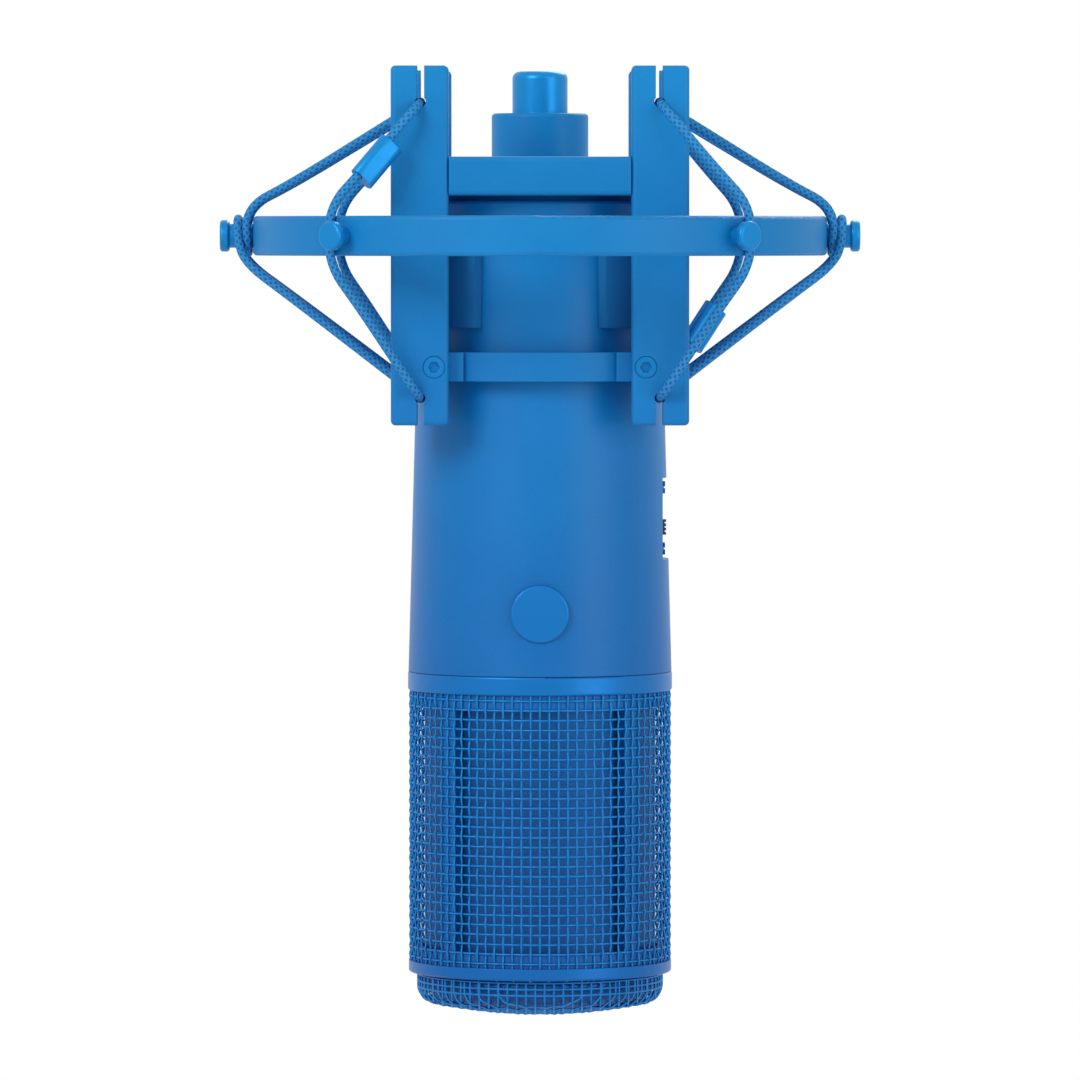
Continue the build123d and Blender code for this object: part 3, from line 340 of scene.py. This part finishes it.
def solder_mask():
    finish = Finish("green_solder_mask", Metallic=0.0)
    _, _, y, z = finish.place()
    bend = (z * (math.tau / TRACK_BEND)).sine() * 2.0
    tracks = (y * (math.tau / TRACK_PITCH) + bend).sine()
    copper = tracks.above(TRACK_LIMIT)
    green = colour(18, 84, 52)
    finish.drive("Base Color", finish.mix(copper, green, colour(40, 120, 70)))
    finish.drive("Roughness", copper * 0.1 + 0.3)
    finish.bumpy(copper, 0.02 * MM, 0.1 * MM)
    return finish.material


soft_rubber = rubber()
steel = bright_metal("drawn_steel", (0.72, 0.73, 0.75, 1.0), 900.0, 0.3)
plain_aluminium = bright_metal("machined_aluminium", (0.78, 0.79, 0.81, 1.0), 600.0, 0.36)
gold = bright_metal("gold_plate", colour(232, 190, 110), 1200.0, 0.24)
film = bright_metal("sputtered_gold_film", colour(240, 205, 140), 80.0, 0.16)
black_plastic = moulded("black_moulding", (0.018, 0.018, 0.02, 1.0), 0.4)
fibre = moulded("pressed_fibre", (0.05, 0.045, 0.04, 1.0), 0.62)
board_green = solder_mask()
print("small finishes ready")

# %% [markdown]
# ## Woven wire and its fine lining
# The coarse weave is real geometry, further down. Behind it lies a much finer gauze. Its
# holes are too small to model, so Alpha opens them: two sets of lines, one around the
# axis and one along it, and a hole wherever neither line passes.

# %% Mesh finishes
GAUZE_OPEN = -0.45
GAUZE_TURNS = 300
GAUZE_PITCH = 0.5 * MM
GAUZE_SHADE = (0.0, 0.01, 0.05, 1.0)
GAUZE_GLINT = (0.0, 0.12, 0.3, 1.0)


def coated_wire():
    finish = Finish("coated_wire", Metallic=0.25, Specular_IOR_Level=0.2, Coat_Weight=0.05)
    where, _, _, z = finish.place()
    tone = height_blue(finish, z)
    patch = finish.noise(where, 900.0, 2.0)
    finish.drive("Base Color", finish.mix(patch * 0.3 + 0.15, tone, (0.02, 0.4, 0.9, 1.0)))
    finish.drive("Roughness", patch * 0.15 + 0.3)
    finish.bumpy(patch, 0.008 * MM)
    return finish.material


def fine_gauze():
    finish = Finish("fine_gauze", Metallic=0.4, Roughness=0.45)
    _, x, y, z = finish.place()
    inward = x - AXIS_X
    backward = y - AXIS_Y
    angle = inward.maths("ARCTAN2", backward, inward)
    around = (angle * GAUZE_TURNS).sine()
    along = (z * (math.tau / GAUZE_PITCH)).sine()
    wires = around.above(GAUZE_OPEN).higher(along.above(GAUZE_OPEN))
    tone = finish.mix(0.1, height_blue(finish, z), GAUZE_SHADE)
    finish.drive("Base Color", finish.mix(around * 0.3, tone, GAUZE_GLINT))
    finish.drive("Alpha", wires)
    return finish.material


wire_coat = coated_wire()
gauze = fine_gauze()
print("mesh finishes ready")

# %% [markdown]
# ## Braided elastic
# Bands of yarn wind both ways round a rubber core. A curve turned into a mesh has a UV map that runs
# along and around it. The map is scaled to millimetres along the cord, so the same two
# crossing waves give every cord the same braid.

# %% Braid finish
BRAID_PITCH = 1.5
BRAID_BANDS = 4
BRAID_DEPTH = 0.12 * MM


def braid():
    finish = Finish("braided_elastic", Roughness=0.7, Specular_IOR_Level=0.15)
    mapped = finish.node("ShaderNodeUVMap", {}, {})
    split = finish.node("ShaderNodeSeparateXYZ", {}, {0: mapped})
    along = split * (math.tau / BRAID_PITCH)
    around = Value(finish, split.socket.node.outputs[1]) * (math.tau * BRAID_BANDS)
    over = (along + around).sine()
    under = (along - around).sine()
    yarn = over.higher(under) * 0.5 + 0.5
    where, _, _, z = finish.place()
    tone = height_blue(finish, z)
    # Painted shade in the valleys between the yarn bands, and a painted highlight on their crests.
    painted_valley_shade = finish.mix(0.5, tone, (0.0, 0.02, 0.1, 1.0))
    painted_crest_highlight = finish.mix(0.1, tone, (0.35, 0.75, 1.0, 1.0))
    finish.drive("Base Color", finish.mix(yarn, painted_valley_shade, painted_crest_highlight))
    fuzz = finish.noise(where, 6000.0, 1.0)
    finish.bumpy(yarn + fuzz * 0.2, BRAID_DEPTH)
    return finish.material


cord_braid = braid()
print("braid ready")

# %% [markdown]
# ## Finishes for the parts that stay as they are
# Each construction part has the right shape already. It only needs its finish, so one
# table names the parts by finish and a loop fills their material slots. The last three
# rows are parts that a detailed piece replaces further down. They get a finish as well.

# %% Dress the construction parts
POSTS = ["cradle_post_" + corner for corner in ("back_right", "back_left", "front_left", "front_right")]
DRESS = [
    (body_coat, ["body_tube", "base_cap", "grille_frame"]),
    (mount_coat, ["outer_ring", "ring_bracket", "stand_socket", "cradle_plate", "lower_hoop"] + POSTS),
    (turned_upright, ["thread_adapter", "lock_ring", "head_collar", "end_ring", "hoop_screws",
                      "base_screws", "badge"]),
    (turned_across, ["end_pegs", "corner_pegs", "tilt_knob", "plate_screws", "switch_screws"]),
    (soft_rubber, ["grip_pads", "base_washer", "isolator"]),
    (steel, ["bracket_screws", "tilt_bolt", "plain_washer", "connector_shell", "transformer",
             "transistor", "floor_screws", "clamp_screws"]),
    (plain_aluminium, ["chassis_rails", "head_floor"]),
    (gold, ["connector_pins", "capsule_housing", "capsule_backplate", "clamp_rings"]),
    (film, ["diaphragms"]),
    (black_plastic, ["connector_insert", "switch_body", "switch_slider", "capacitors",
                     "capsule_saddle", "capsule_leads"]),
    (fibre, ["friction_washers"]),
    (board_green, ["circuit_board"]),
    (gauze, ["inner_mesh"]),
    (wire_coat, ["grille_mesh", "end_mesh"]),
    (soft_rubber, ["elastic_upper_right", "elastic_lower_right",
                   "elastic_upper_left", "elastic_lower_left"]),
    (turned_upright, ["crimp_left", "crimp_right"]),
]


def dress(obj, material):
    obj.data.materials.clear()
    obj.data.materials.append(material)


dressed = 0
for material, names in DRESS:
    for name in names:
        dress(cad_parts[name], material)
        dressed += 1
named = {name for material, names in DRESS for name in names}
print("dressed", dressed, "parts, left out", sorted(set(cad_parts) - named))

# %% [markdown]
# ## Woven grille
# Wire cloth is woven: each wire goes over one neighbour and under the next. Extruding every
# wire from a primitive would take thousands of steps, so each wire is a curve whose radius
# from the axis swings in and out, and one bevel gives all the wires their thickness.

# %% A helper that turns lists of points into wires


def wires(name, lines, radius, closed, roundness):
    curve = bpy.data.curves.new(name, "CURVE")
    curve.dimensions = "3D"
    curve.bevel_depth = radius
    curve.bevel_resolution = roundness
    curve.use_fill_caps = not closed
    for line in lines:
        spline = curve.splines.new("POLY")
        spline.points.add(len(line) - 1)
        spline.points.foreach_set("co", [c for point in line for c in (*point, 1.0)])
        spline.use_cyclic_u = closed
    obj = bpy.data.objects.new(name, curve)
    bpy.context.scene.collection.objects.link(obj)
    lone(obj)
    bpy.ops.object.convert(target="MESH")
    made = bpy.context.view_layer.objects.active
    bpy.ops.object.shade_smooth()
    return made


def joined(name, parts):
    bpy.ops.object.select_all(action="DESELECT")
    for part in parts:
        part.select_set(True)
    bpy.context.view_layer.objects.active = parts[0]
    bpy.ops.object.join()
    parts[0].name = name
    return parts[0]


# %% Weave the cylinder
mesh_low, mesh_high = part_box("grille_mesh")
MESH_OUTER = (mesh_high[0] - mesh_low[0]) / 2
WIRE = 0.24 * MM
SWING = 0.2 * MM
WEAVE_RADIUS = MESH_OUTER - WIRE - SWING
UPRIGHTS = 88
HOOPS = 28
HOOP_PITCH = (mesh_high[2] - mesh_low[2]) / HOOPS


def around(radius, angle, z):
    return (AXIS_X + radius * math.cos(angle), AXIS_Y + radius * math.sin(angle), z)


def upright(index):
    angle = math.tau * index / UPRIGHTS
    line = []
    for step in range(HOOPS * 2 + 1):
        swing = SWING * math.cos(math.pi * (step / 2 - 0.5 + index))
        z = mesh_low[2] + HOOP_PITCH * step / 2
        line.append(around(WEAVE_RADIUS + swing, angle, z))
    return line


def hoop(index):
    z = mesh_low[2] + HOOP_PITCH * (index + 0.5)
    line = []
    for step in range(UPRIGHTS * 2):
        swing = -SWING * math.cos(math.pi * (step / 2 + index))
        line.append(around(WEAVE_RADIUS + swing, math.pi * step / UPRIGHTS, z))
    return line


standing = wires("standing_wires", [upright(i) for i in range(UPRIGHTS)], WIRE, False, 0)
lying = wires("lying_wires", [hoop(i) for i in range(HOOPS)], WIRE, True, 0)
woven_grille = joined("woven_grille", [standing, lying])
dress(woven_grille, wire_coat)
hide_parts("grille_mesh")
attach(woven_grille, "cradle")
print("woven grille", triangles(woven_grille), "triangles")

# %% [markdown]
# ## Woven end
# The end of the head is the same cloth pressed into a shallow dome. Its wires run straight
# across in two directions, so each follows the dome's height, and stops at the side wall.

# %% Press the end cloth
cap_low, cap_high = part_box("end_mesh")
CAP_OUTER = (cap_high[0] - cap_low[0]) / 2
CAP_HEIGHT = cap_high[2] - cap_low[2]
CAP_CORNER = 3.5 * MM
CAP_SIDE = 3.2 * MM
CROWN = CAP_HEIGHT - CAP_SIDE - CAP_CORNER
CAP_WIRES = 26
WALL_END_DROP = 0.4 * MM


def cap_depth(radius):
    """How far below the end ring the dome lies at a distance from the axis."""
    shoulder = CAP_OUTER - CAP_CORNER
    if radius <= shoulder:
        return CAP_SIDE + CAP_CORNER + CROWN * (1 - (radius / shoulder) ** 2)
    past = min(radius - shoulder, CAP_CORNER)
    return CAP_SIDE + math.sqrt(max(CAP_CORNER ** 2 - past ** 2, 0.0))


CAP_PITCH = 2 * CAP_OUTER / (CAP_WIRES + 1)
SKIN = WIRE + SWING


def cap_wire(index, lengthwise):
    offset = (index - (CAP_WIRES - 1) / 2) * CAP_PITCH
    reach = math.sqrt((CAP_OUTER - SKIN) ** 2 - offset ** 2)
    steps = max(8, 2 * round(2 * reach / CAP_PITCH))
    line = []
    for step in range(steps + 1):
        run = reach * math.sin(math.pi * (step / steps - 0.5))
        radius = math.hypot(run, offset)
        wave = math.cos(math.pi * (run / CAP_PITCH + index + 0.5)) * (SWING if lengthwise else -SWING)
        z = cap_high[2] - cap_depth(radius + SKIN) + SKIN + wave
        x, y = (run, offset) if lengthwise else (offset, run)
        line.append((AXIS_X + x, AXIS_Y + y, z))
    wall_end = cap_high[2] - WALL_END_DROP
    first, last = line[0], line[-1]
    return [(first[0], first[1], wall_end)] + line + [(last[0], last[1], wall_end)]


lengthwise = wires("cap_lengthwise", [cap_wire(i, True) for i in range(CAP_WIRES)], WIRE, False, 0)
crosswise = wires("cap_crosswise", [cap_wire(i, False) for i in range(CAP_WIRES)], WIRE, False, 0)
SIDE_HOOPS = 3
SIDE_HOOP_PITCH = 1.3 * MM
SIDE_HOOP_START = 0.5 * MM
SIDE_HOOP_POINTS = 96
side_lines = []
angles = [math.tau * step / SIDE_HOOP_POINTS for step in range(SIDE_HOOP_POINTS)]
for index in range(SIDE_HOOPS):
    z = cap_high[2] - SIDE_HOOP_START - index * SIDE_HOOP_PITCH
    side_lines.append([around(CAP_OUTER - SKIN, angle, z) for angle in angles])
side_hoops = wires("cap_side_hoops", side_lines, WIRE, True, 0)
woven_end = joined("woven_end", [lengthwise, crosswise, side_hoops])
dress(woven_end, wire_coat)
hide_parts("end_mesh")
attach(woven_end, "cradle")
print("woven end", triangles(woven_end), "triangles")

# %% [markdown]
# ## Lining of the end
# The fine gauze closes the dome too, just inside the coarse cloth. A disc is subdivided and
# then pulled down to the dome's height, as the real one is pressed over a former.

# %% Press the lining
LINING_INSET = 1.3 * MM
LINING_GAUGE = 0.12 * MM
LINING_SIDES = 64
LINING_CUTS = 9
CLOSED_RIM = 1.8 * MM
bpy.ops.object.select_all(action="DESELECT")
bpy.ops.mesh.primitive_circle_add(
    vertices=LINING_SIDES, radius=CAP_OUTER - LINING_INSET, fill_type="TRIFAN",
    location=(AXIS_X, AXIS_Y, cap_high[2]),
)
end_lining = bpy.context.view_layer.objects.active
end_lining.name = "end_lining"
bpy.ops.object.mode_set(mode="EDIT")
bpy.ops.mesh.select_all(action="SELECT")
bpy.ops.mesh.subdivide(number_cuts=LINING_CUTS)
bpy.ops.object.mode_set(mode="OBJECT")
bpy.ops.object.transform_apply(location=True, rotation=True, scale=True)
for vertex in end_lining.data.vertices:
    radius = math.hypot(vertex.co.x - AXIS_X, vertex.co.y - AXIS_Y)
    vertex.co.z = cap_high[2] - cap_depth(radius + LINING_INSET) + LINING_INSET
bpy.ops.object.mode_set(mode="EDIT")
bpy.ops.mesh.select_mode(type="EDGE")
bpy.ops.mesh.select_all(action="DESELECT")
bpy.ops.mesh.select_non_manifold()
rim_rise = cap_depth(CAP_OUTER) - LINING_INSET
bpy.ops.mesh.extrude_region_move(TRANSFORM_OT_translate={"value": (0.0, 0.0, rim_rise)})
bpy.ops.object.mode_set(mode="OBJECT")
gauge = end_lining.modifiers.new("gauge", "SOLIDIFY")
gauge.thickness = LINING_GAUGE
bpy.ops.object.modifier_apply(modifier="gauge")
bpy.ops.object.shade_smooth()


def lining_gauze():
    """The same gauze, laid flat: its lines run along X and along Y, and its rim is closed."""
    finish = Finish("lining_gauze", Metallic=0.4, Roughness=0.45)
    _, x, y, z = finish.place()
    per_metre = math.tau / GAUZE_PITCH
    wires_across = (x * per_metre).sine()
    open_mask = wires_across.above(GAUZE_OPEN).higher((y * per_metre).sine().above(GAUZE_OPEN))
    open_mask = open_mask.higher(z.above(cap_high[2] - CLOSED_RIM))
    tone = finish.mix(0.1, height_blue(finish, z), GAUZE_SHADE)
    finish.drive("Base Color", finish.mix(wires_across * 0.3, tone, GAUZE_GLINT))
    finish.drive("Alpha", open_mask)
    return finish.material


dress(end_lining, lining_gauze())
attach(end_lining, "cradle")
print("end lining", triangles(end_lining), "triangles")

# %% [markdown]
# ## Elastic cords
# Each side has one loop. It hooks on the ring's pegs and runs through the slotted ends of
# the posts. The points below are a quarter of an upper and of a lower run, in millimetres
# from the ring's centre, and the other quarters mirror them. They are the control points
# of a NURBS curve. A tight cord is straight between its hooks, so each long run also has a
# point about six diameters from either end. A tube then follows the points of that curve.

# %% Routes of one quarter
CORD_RADIUS = 0.95 * MM
CORD_ROUNDNESS = 4
UPPER_RUN = [
    (43.06, -43.34, 0.0),
    (43.3, -43.6, 5.6),
    (36.2, -39.5, 13.5),
    (31.4, -36.8, 19.2),
    (24.55, -34.6, 27.5),
    (24.55, -18.6, 27.5),
    (33.7, -14.8, 21.9),
    (51.85, -7.3, 10.8),
    (61.5, -3.7, 5.9),
    (61.03, -3.53, -3.53),
    (61.03, 0.0, -3.53),
]
LOWER_RUN = [
    (43.06, -43.34, 0.0),
    (43.3, -43.6, -5.6),
    (37.1, -40.0, -14.3),
    (30.5, -36.3, -24.4),
    (24.55, -34.6, -33.5),
    (24.55, -18.6, -33.5),
    (33.3, -15.6, -26.8),
    (52.4, -9.2, -12.3),
    (61.3, -6.2, -5.8),
    (63.08, -3.7, -1.0),
    (63.08, -3.53, 3.53),
    (63.08, 0.0, 3.53),
]


def route_points(run, side_x, side_y):
    """The points of a smooth curve that has a quarter's points as its control points."""
    curve = bpy.data.curves.new("route", "CURVE")
    curve.dimensions = "3D"
    curve.resolution_u = 10
    spline = curve.splines.new("NURBS")
    spline.points.add(len(run) - 1)
    for point, (x, y, z) in zip(spline.points, run):
        point.co = (AXIS_X + side_x * x * MM, AXIS_Y + side_y * y * MM, RING_Z + z * MM, 1.0)
    spline.order_u = 3
    spline.use_endpoint_u = True
    holder = bpy.data.objects.new("route", curve)
    line = bpy.data.meshes.new_from_object(holder)
    points = [vertex.co.copy() for vertex in line.vertices]
    bpy.data.objects.remove(holder)
    bpy.data.meshes.remove(line)
    bpy.data.curves.remove(curve)
    return points


def cord_piece(name, run, side_x, side_y):
    """A tube along the route, with a UV map in millimetres so the braid keeps its pitch."""
    points = route_points(run, side_x, side_y)
    made = wires(name, [points], CORD_RADIUS, False, CORD_ROUNDNESS)
    reached = [0.0]
    for first, second in zip(points, points[1:]):
        reached.append(reached[-1] + (second - first).length / MM)
    last = len(points) - 1
    for loop in made.data.uv_layers.active.data:
        loop.uv[0] = reached[round(loop.uv[0] * last)]
    return made, reached[-1]


def hang(piece):
    """Bake the piece's place into its mesh."""
    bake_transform(piece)


# %% String the cords
# The points are written for a front quarter, where Y is negative, so its sign turns over
# for a back piece.
for side_x, across in ((1, "right"), (-1, "left")):
    for level, run in (("upper", UPPER_RUN), ("lower", LOWER_RUN)):
        for side_y, depth in ((1, "front"), (-1, "back")):
            cord, length = cord_piece(f"elastic_{level}_{depth}_{across}", run, side_x, side_y)
            dress(cord, cord_braid)
            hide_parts(f"elastic_{level}_{across}")
            hang(cord)
            print(cord.name, round(length, 1), "mm")

# %% [markdown]
# ## Crimped sleeves
# A sleeve joins the two ends of each loop side by side. The imported sleeve has the right
# size, so a copy of it is merged and its edges are softened with a Bevel modifier.

# %% Sleeves
MERGE_DISTANCE = 0.00001
SLEEVE_EDGE = 0.25 * MM
for node_name, side_x, side_y in (("crimp_left", -1, -1), ("crimp_right", 1, 1)):
    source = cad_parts[node_name]
    sleeve = source.copy()
    sleeve.data = source.data.copy()
    for key in [key for key in sleeve.keys() if key.startswith("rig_")]:
        del sleeve[key]
    sleeve.parent = None
    sleeve.name = node_name.replace("crimp", "sleeve")
    bpy.context.scene.collection.objects.link(sleeve)
    lone(sleeve)
    bpy.ops.object.mode_set(mode="EDIT")
    bpy.ops.mesh.select_all(action="SELECT")
    bpy.ops.mesh.remove_doubles(threshold=MERGE_DISTANCE)
    bpy.ops.object.mode_set(mode="OBJECT")
    edge = sleeve.modifiers.new("soft_edge", "BEVEL")
    edge.width = SLEEVE_EDGE
    edge.segments = 2
    edge.limit_method = "ANGLE"
    bpy.ops.object.modifier_apply(modifier="soft_edge")
    dress(sleeve, turned_upright)
    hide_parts(node_name)
    hang(sleeve)
    print(sleeve.name, triangles(sleeve), "triangles")

# %% [markdown]
# ## Floor, world and lamps
# The object hangs over a pale floor in soft light from all round. The world is white to
# the camera and to glossy rays, and dimmer as a light, so the blue isn't washed out. Near
# the object the floor is plain and takes its shadow, and further out it fades to the same
# white, so its edge never shows. Seen from below, it hides the object.

# %% Stage
bpy.ops.object.select_all(action="DESELECT")
FLOOR_DROP = 0.12
FLOOR_SIZE = 6.0
PLAIN_RADIUS = 0.18
FADE_WIDTH = 0.5
floor_z = HEAD_Z - FLOOR_DROP
bpy.ops.mesh.primitive_plane_add(size=FLOOR_SIZE, location=(AXIS_X, AXIS_Y, floor_z))
floor = bpy.context.view_layer.objects.active
floor.name = "pale_floor"
bpy.ops.object.transform_apply(location=True, rotation=True, scale=True)


def fading_floor():
    finish = Finish("pale_floor", Roughness=0.85, Base_Color=(0.86, 0.86, 0.86, 1.0))
    _, x, y, _ = finish.place()
    along = x - AXIS_X
    back = y - AXIS_Y
    square = along * along + back * back
    radius = square.maths("SQRT", square)
    far = ((radius - PLAIN_RADIUS) / FADE_WIDTH).higher(0.0).lower(1.0)
    rays = finish.tree.nodes.new("ShaderNodeLightPath").outputs
    camera_ray = Value(finish, rays["Is Camera Ray"])
    glossy_ray = Value(finish, rays["Is Glossy Ray"])
    clear_ray = Value(finish, rays["Is Transmission Ray"])
    seen = camera_ray.higher(glossy_ray).higher(clear_ray)
    glow = finish.node("ShaderNodeEmission", {}, {"Color": (1.0, 1.0, 1.0, 1.0)})
    plain = Value(finish, finish.shader.outputs[0])
    both = finish.node("ShaderNodeMixShader", {}, {0: far * seen, 1: plain, 2: glow})
    target = finish.tree.nodes["Material Output"].inputs["Surface"]
    finish.tree.links.new(both.socket, target)
    return finish.material


dress(floor, fading_floor())

WORLD_LIGHT = 0.56
WORLD_SEEN = 1.0
world = bpy.data.worlds.new("studio")
bpy.context.scene.world = world
world.use_nodes = True
tree = world.node_tree
tree.nodes.clear()
rays = tree.nodes.new("ShaderNodeLightPath")
either = tree.nodes.new("ShaderNodeMath")
either.operation = "MAXIMUM"
tree.links.new(rays.outputs["Is Camera Ray"], either.inputs[0])
tree.links.new(rays.outputs["Is Glossy Ray"], either.inputs[1])
seen = tree.nodes.new("ShaderNodeMath")
seen.operation = "MAXIMUM"
tree.links.new(either.outputs[0], seen.inputs[0])
tree.links.new(rays.outputs["Is Transmission Ray"], seen.inputs[1])
strength = tree.nodes.new("ShaderNodeMapRange")
strength.inputs["To Min"].default_value = WORLD_LIGHT
strength.inputs["To Max"].default_value = WORLD_SEEN
tree.links.new(seen.outputs[0], strength.inputs["Value"])
background = tree.nodes.new("ShaderNodeBackground")
background.inputs["Color"].default_value = (1.0, 1.0, 1.0, 1.0)
tree.links.new(strength.outputs[0], background.inputs["Strength"])
output = tree.nodes.new("ShaderNodeOutputWorld")
tree.links.new(background.outputs[0], output.inputs["Surface"])


def lamp(name, place, size, watts):
    data = bpy.data.lights.new(name, "AREA")
    data.size = size
    data.energy = watts
    obj = bpy.data.objects.new(name, data)
    bpy.context.scene.collection.objects.link(obj)
    obj.location = place
    aim = Vector((AXIS_X, AXIS_Y, (TOP_Z + HEAD_Z) / 2)) - Vector(place)
    obj.rotation_euler = aim.to_track_quat("-Z", "Y").to_euler()


lamp("key", (-0.7, AXIS_Y - 0.9, 0.55), 0.5, 7.5)
lamp("fill", (0.9, AXIS_Y - 0.8, 0.1), 0.7, 3.6)
lamp("rim", (0.3, AXIS_Y + 0.9, 0.6), 0.5, 5.0)
bpy.context.scene.view_settings.view_transform = "Standard"
print("stage set, floor at", round(floor_z / MM), "mm")

# %% [markdown]
# ## Camera
# The eye is level with the ring, so the ring shows as a straight band. A long lens from
# 1.8 m keeps the posts upright, and a small tilt down centres the microphone.

# %% Camera
DISTANCE = 1.8
SENSOR = 36.0
VIEW_HEIGHT = 0.226
camera_data = bpy.data.cameras.new("camera")
camera = bpy.data.objects.new("camera", camera_data)
bpy.context.scene.collection.objects.link(camera)
camera.location = (AXIS_X, AXIS_Y - DISTANCE, RING_Z)
middle_z = (cad_box[1][2] + cad_box[0][2]) / 2
look = Vector((AXIS_X, AXIS_Y, middle_z)) - camera.location
camera.rotation_euler = look.to_track_quat("-Z", "Y").to_euler()
camera_data.sensor_width = SENSOR
camera_data.lens = SENSOR * DISTANCE / VIEW_HEIGHT
camera_data.clip_end = 20.0
bpy.context.scene.camera = camera
print("lens", round(camera_data.lens), "mm")
